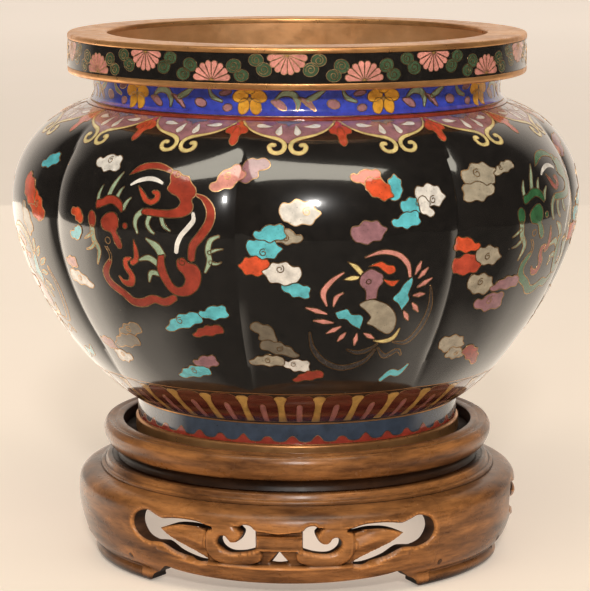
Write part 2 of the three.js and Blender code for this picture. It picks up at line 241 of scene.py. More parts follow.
# The enamels: the record's slot, then the colour.
PALETTE = {
    "ground": ("black_enamel", 0.011, 0.0095, 0.0085),
    "rust": ("red_enamel", 0.31, 0.042, 0.022),
    "orange": ("orange_enamel", 0.66, 0.085, 0.026),
    "turquoise": ("turquoise_enamel", 0.115, 0.5, 0.56),
    "white": ("white_enamel", 0.74, 0.7, 0.64),
    "mauve": ("mauve_enamel", 0.3, 0.145, 0.165),
    "ember": ("red_enamel", 0.48, 0.065, 0.03),
    "blossom": ("pink_enamel", 0.47, 0.23, 0.24),
    "beige": ("grey_enamel", 0.36, 0.31, 0.23),
    "stone": ("grey_enamel", 0.17, 0.14, 0.1),
    "grey": ("grey_enamel", 0.045, 0.037, 0.034),
    "celadon": ("celadon_enamel", 0.3, 0.39, 0.26),
    "green": ("green_enamel", 0.035, 0.13, 0.05),
    "leaf": ("green_enamel", 0.05, 0.09, 0.045),
    "yellow": ("yellow_enamel", 0.86, 0.42, 0.045),
    "cream": ("yellow_enamel", 0.7, 0.56, 0.23),
    "pink": ("pink_enamel", 0.66, 0.27, 0.22),
    "dusty": ("pink_enamel", 0.32, 0.125, 0.11),
    "cobalt": ("cobalt_enamel", 0.055, 0.085, 0.58),
    "maroon": ("maroon_enamel", 0.085, 0.018, 0.012),
    "ochre": ("yellow_enamel", 0.42, 0.24, 0.07),
    "slate": ("slate_enamel", 0.042, 0.062, 0.1),
    "steel": ("slate_enamel", 0.17, 0.16, 0.19),
    "brick": ("red_enamel", 0.36, 0.04, 0.022),
    "inside": ("counter_enamel", 0.07, 0.24, 0.33),
}
# A finish is a material and the record's slot that it stands for.
FINISHES = {name: (enamel(name, colour, name == "ground"), slot)
            for name, (slot, *colour) in PALETTE.items()}
FINISHES["wire"] = metal("cloison_wire", (0.72, 0.45, 0.22), (0.34, 0.18, 0.08), 0.35, 400), "wire"
COPPER = metal("worn_copper", (0.8, 0.41, 0.16), (0.52, 0.235, 0.085), 0.34, 40, 0.75), "copper"
# painted light: a paler copper for the mouth's lining, brightened to stand for the light that the inside of
# the mouth catches
BRIGHTENED_LINING = metal("brightened_mouth_copper", (0.92, 0.48, 0.22), (0.7, 0.33, 0.13), 0.42, 25, 0.6), "copper"
HEAVY_WIRE = COPPER[0], "wire"
PETAL_GROUND = FINISHES["ground"][0], "maroon_enamel"
WOOD = timber("stand_wood", (0.42, 0.175, 0.055), (0.09, 0.035, 0.013), 0.27), "wood"
# a darker copy of the wood, painted shade for the seat under the vase and for the backs and opening walls of
# the aprons
SHADED_WOOD = timber("shaded_wood", (0.085, 0.036, 0.015), (0.022, 0.01, 0.006), 0.6), "wood"
# dark wood for the pegs and the waist; on the waist its darkness also paints the shade under the top ring
DARK_AND_SHADED_WOOD = timber("dark_wood", (0.12, 0.05, 0.02), (0.035, 0.015, 0.007), 0.4), "dark_wood"


# ------------------------------------------------------------------ meshes

def add_object(name, data):
    made = bpy.data.objects.new(name, data)
    bpy.context.scene.collection.objects.link(made)
    return made


SHARP_ANGLE = math.radians(35)


def make_piece(name, points, faces, finish, body, node=None):
    """A smooth mesh from points in metres, which rides on a body and may stand for a CAD node."""
    material, slot = finish
    mesh = bpy.data.meshes.new(name)
    mesh.from_pydata([tuple(point) for point in points], [], faces)
    mesh.validate()
    mesh.materials.append(material)
    mesh.shade_smooth()
    mesh.set_sharp_from_angle(angle=SHARP_ANGLE)
    piece = add_object(name, mesh)
    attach(piece, body)
    if node:
        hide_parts(node)
    return piece


def grid_faces(rows, columns, wrap_rows, wrap_columns):
    """Quads of a rows x columns grid of points, numbered row by row."""
    faces = []
    for i in range(rows if wrap_rows else rows - 1):
        j = (i + 1) % rows
        for a in range(columns if wrap_columns else columns - 1):
            b = (a + 1) % columns
            faces.append((i * columns + a, i * columns + b, j * columns + b, j * columns + a))
    return faces


def shell(front, back, faces):
    """A closed solid between two layers of points that match: both layers' faces and the walls."""
    count = len(front)
    edges = dict.fromkeys((a, b) for face in faces for a, b in zip(face, face[1:] + face[:1]))
    walls = [(a, a + count, b + count, b) for a, b in edges if (b, a) not in edges]
    under = [tuple(i + count for i in reversed(face)) for face in faces]
    return np.vstack([front, back]), list(faces) + under + walls


def bezier(points, count):
    a, b, c, d = (np.array(point, float) for point in points)
    t = np.linspace(0, 1, count)[:, None]
    return (1 - t) ** 3 * a + 3 * (1 - t) ** 2 * t * b + 3 * (1 - t) * t * t * c + t ** 3 * d


def smooth_curve(points, closed=True, step=0.8):
    """A Catmull-Rom curve through (u, v) points. A third entry marks a sharp corner."""
    sharp = [len(point) > 2 for point in points]
    knots = np.array([point[:2] for point in points], float)
    count = len(knots)
    out = []
    for i in range(count if closed else count - 1):
        p1, p2 = knots[i], knots[(i + 1) % count]
        p0 = knots[i - 1] if closed or i > 0 else p1
        p3 = knots[(i + 2) % count] if closed or i + 2 < count else p2
        m1 = (p2 - p1) * 0.5 if sharp[i] else (p2 - p0) * 0.5
        m2 = (p2 - p1) * 0.5 if sharp[(i + 1) % count] else (p3 - p1) * 0.5
        pieces = max(2, int(math.ceil(np.hypot(*(p2 - p1)) / step)))
        t = np.linspace(0, 1, pieces, endpoint=False)[:, None]
        t2, t3 = t * t, t * t * t
        out.append((2 * t3 - 3 * t2 + 1) * p1 + (t3 - 2 * t2 + t) * m1
                   + (-2 * t3 + 3 * t2) * p2 + (t3 - t2) * m2)
    if not closed:
        out.append(knots[-1:])
    return np.vstack(out)


def directions(line, closed=False):
    """Unit tangents and left-hand normals along a line of flat points."""
    if closed:
        tangent = np.roll(line, -1, axis=0) - np.roll(line, 1, axis=0)
    else:
        tangent = np.gradient(line, axis=0)
    tangent = tangent / np.maximum(np.hypot(*tangent.T), 1e-9)[:, None]
    return tangent, np.stack([-tangent[:, 1], tangent[:, 0]], 1)


def lengths(line):
    """How far along a line each of its points lies."""
    return np.concatenate([[0], np.cumsum(np.hypot(*np.diff(line, axis=0).T))])


def stroke(points, widths, step=0.8):
    """The outline of a brush stroke: a smooth centre line with a width that changes along it."""
    line = smooth_curve(points, False, step)
    along = lengths(line)
    width = np.interp(along / along[-1], np.linspace(0, 1, len(widths)), widths) / 2
    tangent, normal = directions(line)
    side = normal * width[:, None]
    # three points round off each end
    turn = np.linspace(-0.35, 0.35, 3) * math.pi
    end_cap = [line[-1] + width[-1] * (math.cos(a) * tangent[-1] + math.sin(a) * normal[-1]) for a in turn]
    start_cap = [line[0] - width[0] * (math.cos(a) * tangent[0] + math.sin(a) * normal[0]) for a in turn]
    return np.vstack([line - side, end_cap, (line + side)[::-1], start_cap])


def oval(u, v, half_u, half_v, tilt=0, count=18):
    turn = np.linspace(0, TURN, count, endpoint=False)
    x, y = half_u * np.cos(turn), half_v * np.sin(turn)
    c, s = math.cos(math.radians(tilt)), math.sin(math.radians(tilt))
    return np.stack([u + x * c - y * s, v + x * s + y * c], 1)


SPIRAL_POINTS = 22              # on each turn
SPIRAL_CORE = 0.28              # a spiral's inner radius, as a share of its outer one


def spiral(u, v, outer, turns, start, hand=1):
    """A spiral that winds in from its outer radius to its core."""
    turn = np.linspace(0, 1, int(SPIRAL_POINTS * turns))
    angle = math.radians(start) + hand * turn * turns * TURN
    radius = outer * (1 - (1 - SPIRAL_CORE) * turn)
    return np.stack([u + radius * np.cos(angle), v + radius * np.sin(angle)], 1)


def moved(points, u=0.0, v=0.0, size=1.0, tilt=0.0, flip=False):
    """A copy of a flat outline, turned, scaled, mirrored and moved."""
    c, s = math.cos(math.radians(tilt)), math.sin(math.radians(tilt))
    out = []
    for point in points:
        x, y = point[0] * (-size if flip else size), point[1] * size
        out.append((u + x * c - y * s, v + x * s + y * c, *point[2:]))
    return out


def mirrored(outline):
    return [(-u, *rest) for u, *rest in reversed(outline)]


def symmetric(right):
    """A closed outline from its right half, whose points on the axis have u = 0."""
    return right + [point for point in mirrored(right) if point[0] != 0]


# ------------------------------------------------------------------ turned surfaces

def around(radius, angle, height):
    """Points in metres at a radius, azimuth and height, with millimetres given."""
    return np.stack([radius * np.sin(angle), -radius * np.cos(angle), height], -1) * MM


def soft_step(values, low, high):
    t = np.clip((values - low) / (high - low), 0, 1)
    return t * t * (3 - 2 * t)


class Skin:
    """A turned surface that flat outlines are wrapped on."""

    def __init__(self, profile, reference, zero=None, lobed=False):
        profile = np.array(profile, float)
        length = lengths(profile)
        tangent, _ = directions(profile)
        self.radius, self.height = profile.T
        self.out_radius, self.out_height = tangent[:, 1], -tangent[:, 0]
        self.v = self.height if zero is None else length - np.interp(zero, self.height, length)
        self.reference = reference
        self.lobed = lobed

    def place(self, u, v, lift=0.0):
        """Points in metres for flat places (u, v), lifted off the surface."""
        u, v = np.asarray(u, float), np.asarray(v, float)
        radius = np.interp(v, self.v, self.radius)
        height = np.interp(v, self.v, self.height)
        angle = u / self.reference
        if self.lobed:
            share = soft_step(height, *CREASE_RISE) * (1 - soft_step(height, *CREASE_FALL))
            across = ((angle - FIRST_CREASE) / LOBE_ANGLE % 1.0) * 2 - 1
            radius = radius * (1 - (CREASE_DEPTH * across ** 2 + CREASE_ROUND * across ** 10) * share)
        radius = radius + lift * np.interp(v, self.v, self.out_radius)
        height = height + lift * np.interp(v, self.v, self.out_height)
        return around(radius, angle, height)


BELLY = (BELLY_RADIUS, BELLY_HEIGHT)
lower = bezier([(62.2, FOOT_TOP), (88.4, 77.9), (BELLY_RADIUS, BELLY_HEIGHT - 21.8), BELLY], 300)
upper = bezier([BELLY, (BELLY_RADIUS, BELLY_HEIGHT + 18.7), (97.0, 168.5), SHOULDER_EDGE], 200)
WALL = Skin(np.vstack([lower, upper[1:]]), BELLY_RADIUS, zero=BELLY_HEIGHT, lobed=True)
V_LOW, V_HIGH = WALL.v[0], WALL.v[-1]

neck_curve = bezier([(NECK_RADIUS + 1.4, NECK_BASE + 0.5), (NECK_RADIUS + 0.3, NECK_BASE + 1.2),
                     (NECK_RADIUS, NECK_BASE + 2.2), (NECK_RADIUS, NECK_BASE + 4)], 24)
NECK = Skin(np.vstack([neck_curve, [(NECK_RADIUS, RIM_BOTTOM + 0.3)]]), NECK_RADIUS)
RIM = Skin([(RIM_RADIUS - 0.15, RIM_BOTTOM + 2), (RIM_RADIUS - 0.15, RIM_TOP - 1.5)], RIM_RADIUS)
FOOT = Skin([(FOOT_RADIUS - 0.9, FOOT_BEAD_TOP - 0.5), (FOOT_RADIUS - 0.9, FOOT_TOP + 0.3)], FOOT_RADIUS)


def ring_piece(name, skin, low, high, thickness, finish, node, segments=300, step=1.2, depth=0.0):
    """A closed band of the vase's skin between two v values, with a plain back."""
    rows = max(2, int((high - low) / step) + 1)
    back_rows = max(2, rows // 4)
    u = (FIRST_CREASE + np.arange(segments) / segments * TURN) * skin.reference
    points = [skin.place(u, np.full(segments, v), -depth) for v in np.linspace(low, high, rows)]
    points += [skin.place(u, np.full(segments, v), -depth - thickness)
               for v in np.linspace(high, low, back_rows)]
    faces = grid_faces(rows + back_rows, segments, True, True)
    make_piece(name, np.vstack(points), faces, finish, "vase", node)


def rounded(corners, steps):
    """A closed (radius, height) outline whose corners (r, z, size) are rounded off."""
    out = []
    for i, (r, z, *size) in enumerate(corners):
        here = np.array((r, z), float)
        if not size:
            out.append(here)
            continue
        before = np.array(corners[i - 1][:2], float) - here
        after = np.array(corners[(i + 1) % len(corners)][:2], float) - here
        a = here + before / np.hypot(*before) * size[0]
        b = here + after / np.hypot(*after) * size[0]
        for t in np.linspace(0, 1, steps):
            out.append((1 - t) ** 2 * a + 2 * (1 - t) * t * here + t * t * b)
    return np.array(out)


def turned_piece(name, corners, finish, body, node=None, steps=5, segments=256):
    """Turns a closed outline of corners, listed anticlockwise, about the axis."""
    outline = rounded(corners, steps)
    angle = np.arange(segments) / segments * TURN
    radius, height = outline[:, :1], outline[:, 1:]
    points = around(radius, angle, np.broadcast_to(height, (len(outline), segments))).reshape(-1, 3)
    make_piece(name, points, grid_faces(len(outline), segments, True, True), finish, body, node)


# ------------------------------------------------------------------ cells and wires

def inside(outline, points):
    x, y = points[:, :1], points[:, 1:]
    x1, y1 = outline.T
    x2, y2 = np.roll(x1, -1), np.roll(y1, -1)
    crosses = (y1 > y) != (y2 > y)
    reach = (x2 - x1) * (y - y1) / np.where(y2 == y1, 1e-9, y2 - y1) + x1
    return (np.count_nonzero(crosses & (x < reach), axis=1) % 2) == 1


def grid_in(outline, spacing):
    """A square grid of points inside a flat outline."""
    low, high = outline.min(0), outline.max(0)
    axes = [np.arange(low[i] + spacing / 2, high[i], spacing) for i in (0, 1)]
    grid = np.stack(np.meshgrid(*axes), -1).reshape(-1, 2)
    return grid[inside(outline, grid)]


def filled(outline, spacing=1.7):
    """Triangles that fill a flat outline, with points spread inside so that it can wrap."""
    grid = grid_in(outline, spacing)
    near = np.min(np.hypot(*(grid[:, None] - outline[None]).transpose(2, 0, 1)), axis=1)
    flat = np.vstack([outline, grid[near > 0.45 * spacing]])
    result = delaunay_2d_cdt([tuple(p) for p in flat], [], [tuple(range(len(outline)))], 1, 1e-4)
    return np.array([tuple(p) for p in result[0]]), [tuple(face) for face in result[2]]


class Sheet:
    """Collects the cells and wires of one kind of ornament, one mesh for each colour."""

    def __init__(self, name, skin):
        self.name = name
        self.skin = skin
        self.at = 0.0                   # the u that shapes, brush strokes and ovals are drawn about
        self.parts = {}

    def repeats(self, count, first):
        """Moves the sheet on to each repeat of a border, from a first azimuth in degrees."""
        for i in range(count):
            self.at = (math.radians(first) + i * TURN / count) * self.skin.reference
            yield i

    def keep(self, colour, points, faces):
        stored_points, stored_faces = self.parts.setdefault(colour, ([], []))
        base = sum(len(block) for block in stored_points)
        stored_points.append(points)
        stored_faces.extend(tuple(base + i for i in face) for face in faces)

    def cell(self, colour, outline, lift=CELL_LIFT, wire=True, width=WIRE_WIDTH):
        """One field of enamel, as a closed solid let into the ground, with a wire round it."""
        if np.cross(outline, np.roll(outline, -1, axis=0)).sum() < 0:
            outline = outline[::-1]
        flat, faces = filled(outline)
        top, bottom = (self.skin.place(*flat.T, up) for up in (lift, -CELL_DEPTH))
        self.keep(colour, *shell(top, bottom, faces))
        if wire:
            self.wire(outline, True, width, lift + WIRE_RISE)

    def shape(self, colour, points, lift=CELL_LIFT, step=0.8, **wire):
        self.cell(colour, smooth_curve(moved(points, self.at), step=step), lift, **wire)

    def brush(self, colour, points, widths, **wire):
        self.cell(colour, stroke(moved(points, self.at), widths), **wire)

    def oval(self, colour, u, v, half_u, half_v, tilt=0, **wire):
        self.cell(colour, oval(self.at + u, v, half_u, half_v, tilt), **wire)

    def vein(self, points, **wire):
        self.wire(smooth_curve(moved(points, self.at), False), **wire)

    def wire(self, line, closed=False, width=WIRE_WIDTH, lift=UPPER_CELL):
        """A polished wire on edge: a thin bar let into the enamel with a rounded top."""
        _, left = directions(line, closed)
        half = width / 2
        side_top = lift - 0.4 * WIRE_RISE
        section = [(half, -CELL_DEPTH), (half, side_top), (0, lift), (-half, side_top), (-half, -CELL_DEPTH)]
        rows = [self.skin.place(*(line - left * side).T, up) for side, up in section]
        points = np.stack(rows, 1).reshape(-1, 3)
        faces = grid_faces(len(line), len(section), closed, True)
        if not closed:
            last = (len(line) - 1) * len(section)
            faces.append(tuple(range(len(section)))[::-1])
            faces.append(tuple(last + i for i in range(len(section))))
        self.keep("wire", points, [face[::-1] for face in faces])

    def finish(self):
        for colour, (points, faces) in sorted(self.parts.items()):
            make_piece(f"{self.name}_{colour}", np.vstack(points), faces, FINISHES[colour], "vase")


# ------------------------------------------------------------------ the vase's plain bodies

LOBED_SEGMENTS = 448
ENAMEL = 1.0                    # the thickness of the enamel on the body
BAND = 0.9                      # and of the bands let into rim and foot


def make_vase_body():
    """The rings of plain enamel that the cells and wires are let into, and the wire on the belly."""
    ground = FINISHES["ground"]
    ring_piece("belly_ground", WALL, PETAL_TOP + 0.15, V_HIGH - 0.25, ENAMEL, ground, "belly_enamel",
               LOBED_SEGMENTS)
    ring_piece("petal_ground", WALL, V_LOW + 0.4, PETAL_TOP - 0.15, ENAMEL, PETAL_GROUND,
               "petal_border_enamel", LOBED_SEGMENTS)
    ring_piece("petal_wire", WALL, PETAL_TOP - 0.14, PETAL_TOP + 0.14, BAND, HEAVY_WIRE, "petal_border_wire",
               LOBED_SEGMENTS, 0.1)
    ring_piece("neck_ground", NECK, NECK_BASE + 0.5, RIM_BOTTOM - 0.2, ENAMEL, FINISHES["cobalt"],
               "neck_enamel", step=0.6)
    ring_piece("rim_ground", RIM, RIM_BOTTOM + 2.55, RIM_TOP - 2.25, BAND, ground, "rim_enamel")
    ring_piece("foot_ground", FOOT, FOOT_BEAD_TOP + 0.1, FOOT_TOP - 0.7, BAND, FINISHES["slate"],
               "foot_enamel")


def make_rim_binding():
    """The copper rim and its collar, with the recess that the rim's enamel fills."""
    neck_hole = NECK_RADIUS - 0.9
    lining = RIM_WALL - 1.2
    turned_piece("rim_binding", [
        (neck_hole, RIM_BOTTOM), (RIM_RADIUS, RIM_BOTTOM, 1.3), (RIM_RADIUS, RIM_BOTTOM + 2.5, 0.5),
        (RIM_WALL, RIM_BOTTOM + 2.5), (RIM_WALL, RIM_TOP - 2.2), (RIM_RADIUS, RIM_TOP - 2.2, 0.5),
        (RIM_RADIUS, RIM_TOP, 1.2), (MOUTH_RADIUS, RIM_TOP, 0.9), (MOUTH_RADIUS, RIM_TOP - 2.2, 0.4),
        (lining, RIM_TOP - 2.2), (lining, RIM_BOTTOM + 1.2), (neck_hole, RIM_BOTTOM + 1.2),
    ], COPPER, "vase", "rim_collar")


def make_neck_lines():
    """The red line round the shoulder and the wire at the foot of the neck."""
    turned_piece("shoulder_line", [
        (76.3, NECK_BASE - 1.2), (79.2, NECK_BASE - 1.85), (79.75, NECK_BASE - 0.9, 0.4),
        (78.6, NECK_BASE - 0.05, 0.3), (76.3, NECK_BASE - 0.1),
    ], FINISHES["rust"], "vase", "shoulder_border_enamel")
    turned_piece("neck_wire", [
        (76.2, NECK_BASE), (78.4, NECK_BASE, 0.1), (78.3, NECK_BASE + 0.3, 0.1), (76.2, NECK_BASE + 0.3),
    ], FINISHES["wire"], "vase", "neck_base_wire", 3)


def make_foot_rim():
    """The copper foot with its bead, and the wire that ends the foot band."""
    turned_piece("foot_rim", [
        (FOOT_WALL - 2, FOOT_BOTTOM, 0.4), (FOOT_RADIUS, FOOT_BOTTOM, 1), (FOOT_RADIUS, FOOT_BEAD_TOP, 0.9),
        (FOOT_WALL, FOOT_BEAD_TOP), (FOOT_WALL, FOOT_TOP + 0.3), (FOOT_WALL - 2, FOOT_TOP + 0.3),
    ], COPPER, "vase", "foot_ring")
    line_edge = FOOT_RADIUS - 0.75
    turned_piece("foot_line", [
        (FOOT_WALL + 0.3, FOOT_TOP - 0.6), (line_edge, FOOT_TOP - 0.6, 0.1), (line_edge, FOOT_TOP, 0.1),
        (FOOT_WALL + 0.3, FOOT_TOP),
    ], HEAVY_WIRE, "vase", "foot_wire", 3)


# ------------------------------------------------------------------ figures on the belly

# The outlines of the clouds, about their middles.
CLOUDS = {
    "puff": [
        (-7, 0.6), (-5.8, 1.9), (-3.8, 1.5), (-2.2, 2.9), (0.4, 3.7), (2.6, 3.1), (4.8, 3.5), (6.4, 2.2),
        (6.2, 0.2), (6.9, -1.8), (5, -3.1), (2.2, -2.8), (-0.4, -3.7), (-2.6, -2.3), (-4.6, -2.1),
        (-6.3, -1.2),
    ],
    "long": [
        (-8.6, -1.8), (-6.2, -0.4), (-4.6, 1.4), (-2, 1.8), (-0.2, 3.1), (2.6, 2.7), (4.4, 3.3),
        (7.2, 2.4), (8.2, 0.6), (7.6, -1.6), (4.2, -1.9), (1.6, -3), (-2, -2.6), (-5.2, -3.4),
        (-7.4, -3.2),
    ],
    "round": [
        (-6.4, -0.2), (-5.6, 2.4), (-3.2, 2.6), (-1.2, 4.2), (1.6, 3.6), (3.6, 3.8), (5.2, 1.8),
        (7.2, 0.6), (5.6, -1.4), (4.4, -3.4), (1.6, -3.4), (-0.6, -4.4), (-3.2, -3.4), (-4.8, -3),
    ],
    "heart": [
        (-6, 2), (-4.2, 4), (-1.4, 3.8), (0.4, 4.6), (3, 3.6), (4.6, 1.4), (6.2, -0.6), (5.8, -3.4),
        (3.2, -4.6), (0.8, -3.4), (-1.2, -3), (-1.6, -0.8), (-4, -0.6), (-5.8, 0.2),
    ],
}


def cloud(sheet, colour, shape, u, v, size, tilt, curl=None, flip=False, lift=CELL_LIFT):
    """A cloud: one lobed cell and, where curl is given, a small spiral of wire on it."""
    sheet.cell(colour, smooth_curve(moved(CLOUDS[shape], u, v, size, tilt, flip)), lift)
    if curl is not None:
        place = moved([curl], u, v, size, tilt, flip)[0]
        sheet.wire(spiral(*place, 1.5 * size, 1.3, 60, -1 if flip else 1), lift=lift + 0.05)


def draw(sheet, figure, hues, shape_lift=CELL_LIFT):
    """Draws a figure's parts: (part, outline), or (part, middle line, widths) for a brush stroke."""
    for part, points, *widths in figure:
        # the belly's scutes have no wire round them
        wire = part != "belly"
        if widths:
            sheet.brush(hues[part], points, *widths, wire=wire)
        else:
            sheet.shape(hues[part], points, shape_lift, wire=wire)


DRAGON_COLOURS = {
    "red": {"body": "rust", "claw": "celadon", "flame": "ember", "belly": "white"},
    "green": {"body": "green", "claw": "celadon", "flame": "rust", "belly": "white"},
    "blue": {"body": "cobalt", "claw": "white", "flame": "orange", "belly": "cream"},
}
# A dragon about the middle of its lobe: each part, then its outline or its brush stroke's line and widths.
DRAGON = [
    # the back of the neck, the belly scutes under it and the curled flame
    ("body", [(0, 19.3, 0), (2.5, 22.6), (6, 24.4), (10.4, 24.9), (14, 24.2), (17.6, 22.5, 0),
     (17.8, 20.8, 0), (13.5, 22), (9, 22.3), (5, 21.3), (2, 20)]),
    ("belly", [(2, 15.9), (5, 17.6), (9, 18.6), (12.5, 18.2), (14.8, 17.2)], [0.8, 1.5, 1.7, 1.6, 1]),
    ("flame", [(5.4, 15.6), (7.6, 13), (9.4, 10.9), (11.6, 10.2), (13.6, 11.4), (13.6, 13.4), (12, 13.8)],
     [0.3, 1.5, 2, 2, 2, 2.2, 1.4]),
    # the fat body piece that turns into the foreleg
    ("body", [(18, 22), (20.2, 21.9), (22.2, 20.4), (24.6, 20), (25.9, 17.9), (27.9, 15.8), (28.2, 13.4),
     (26.9, 11.8), (27.7, 9.4), (26.8, 7.1), (23.8, 5.6), (19, 5.1), (13.5, 5.4), (8.3, 6), (9.2, 7.9),
     (14, 7.9), (18.6, 7.9), (21.8, 8.9), (22.8, 10.8), (21.3, 12.7), (18.8, 13.8), (17.2, 15.3),
     (18, 17.6), (17.4, 19.9)]),
    ("claw", [(8.8, 7), (6.4, 5.2), (5.6, 2.4), (6.6, -0.8)], [2, 2, 1.7, 1]),
    ("claw", [(11.6, 5.6), (10.6, 3.2), (11.4, 0.9), (13.2, -0.6)], [1.8, 1.7, 1.5, 0.9]),
    ("claw", [(16, 5.4), (16.6, 3.2), (17.6, 1.8), (19.4, 0.7)], [1.8, 1.6, 1.4, 0.8]),
    # the body's outer curve, with its strip of scutes
    ("body", [(28.6, 13.5), (31.6, 12), (34, 8.2), (33.6, 3.8), (30.6, -0.8), (27.8, -4.4), (26.9, -9)],
     [0.9, 2.4, 3.1, 3.2, 3.2, 3, 2.6]),
    ("belly", [(27.8, 7), (28, 4.6), (26, 1.9), (23.6, -0.8), (22.1, -3.8), (21.5, -6.8)],
     [1.2, 1.7, 1.7, 1.7, 1.7, 1.5]),
    # the lower body and the hind leg
    ("body", [(21.8, -9.4), (24, -8.8), (25.8, -10.6), (28.4, -11.2), (30, -14), (29.6, -17.6),
     (27.6, -21), (24.2, -23.3), (20.4, -23.6), (17.4, -22.4), (15.2, -19.1), (13.4, -13.6),
     (14.4, -8.4, 0), (16.9, -7.9, 0), (16.7, -12), (17.9, -17), (20, -20), (22.3, -19.6), (23.8, -17.2),
     (23.2, -14.8), (21.6, -13.2), (21.2, -11.2)]),
    ("claw", [(15.9, -8.4), (14, -5.2), (10.2, -2.7)], [3, 2.8, 0.9]),
    ("claw", [(14.2, -11.9), (10.6, -9.6), (6.2, -10.7)], [2.4, 2.4, 0.8]),
    ("claw", [(13.6, -15.4), (10.6, -15.2), (9.2, -18.6)], [2, 2, 0.8]),
    # the tail along the bottom
    ("body", [(-7.2, -12.4), (-10.4, -16.8), (-9.2, -21), (-4.2, -24.4), (-0.4, -27.5), (4.4, -27.6),
     (9.4, -25.7), (14, -26.6), (18.2, -24.6)], [1.8, 3, 3.3, 3.3, 3.6, 3.5, 3.3, 3.3, 2.6]),
    # the head: crest, spikes, snout and jaw
    ("body", [(-12.5, 6.3), (-12.7, 9.2), (-10.4, 9.8), (-7.4, 11.4), (-3.2, 11.1), (-0.4, 8.9),
     (-0.2, 5.9), (-2.4, 7.3), (-5.4, 8.5), (-9, 7.4)]),
    ("claw", [(-12.2, 9.6), (-12, 12), (-10.8, 14.8)], [1.6, 1.5, 0.4]),
    ("claw", [(-7, 11.6), (-5.8, 15), (-2.9, 20.2)], [2, 1.8, 0.5]),
    ("claw", [(-3, 11.4), (-2.2, 13.2), (-1, 14.8)], [1.6, 1.4, 0.5]),
    ("claw", [(0.2, 7.2), (1.4, 9.6), (3, 11.2)], [1.8, 1.6, 0.7]),
    ("body", [(-9.9, 2.3), (-7.4, 4.9), (-3.9, 5.7), (-1.8, 3.7), (-1.6, 0.9), (-2.6, -1), (-1, -3.6),
     (-0.3, -6.2), (-1.8, -7.2), (-3.6, -5.2), (-5, -1.8), (-8.8, -0.7)]),
    # the claws at the left and at the far right
    ("claw", [(-14.5, -0.8), (-14, -5), (-11.8, -8.8), (-13.9, -14)], [2.4, 2.2, 1.7, 0.5]),
    ("claw", [(-14.6, -2.6), (-16.6, -3.8), (-19, -5)], [1.4, 1, 0.4]),
    ("claw", [(-13.6, -6.2), (-16, -8.2), (-18.6, -9)], [1.4, 1, 0.4]),
    ("claw", [(37, -0.8), (34.2, -2.2), (33.1, -6), (33.5, -9.6), (31.6, -13.8)], [1, 2, 2.1, 1.9, 1]),
    ("claw", [(33.6, -6.6), (36, -5.6), (38.4, -5.3)], [1.4, 1.1, 0.4]),
    ("claw", [(33.8, -10.2), (35.8, -10.8), (37.6, -10.1)], [1.4, 1.1, 0.4]),
    # the S-shaped flame under the chin
    ("flame", [(4.8, -3.4), (5.4, -7), (5.2, -10.4), (3.2, -12)], [0.3, 1.8, 2.2, 2]),
    ("flame", [(2.6, -10.4), (0.4, -11.2), (0.3, -14), (2, -17), (0.8, -20), (-2.2, -20), (-4, -17.8)],
     [1.2, 2.2, 2.4, 2.6, 2.8, 2.2, 0.6]),
]


def dragon(sheet, at, kind):
    """A curled five-piece dragon, drawn about the middle of its lobe."""
    sheet.at = at
    hues = DRAGON_COLOURS[kind]
    draw(sheet, DRAGON, hues, CELL_LIFT + CELL_STEP)
    # curls on the shoulder and the hip, the tail's double root and the ring of the eye
    sheet.wire(spiral(at + 20.2, 20.8, 1.4, 1.1, 200), lift=HIGH_WIRE)
    sheet.wire(spiral(at + 23.6, -10.4, 1.5, 1.1, 120), lift=HIGH_WIRE)
    for offset in (0, 1.1):
        sheet.vein([(-8.6 + offset, -6.8), (-7 + offset, -9.6), (-7.4 + offset, -12.6)])
    sheet.wire(oval(at - 6.8, -4.6, 1.2, 1.2), True)
    # the nostril and the leaf-shaped joint at the left
    sheet.oval(hues["body"], 1.3, 1.3, 1.1, 1.1)
    sheet.oval(hues["body"], -14.6, 2.4, 2, 3, 8)


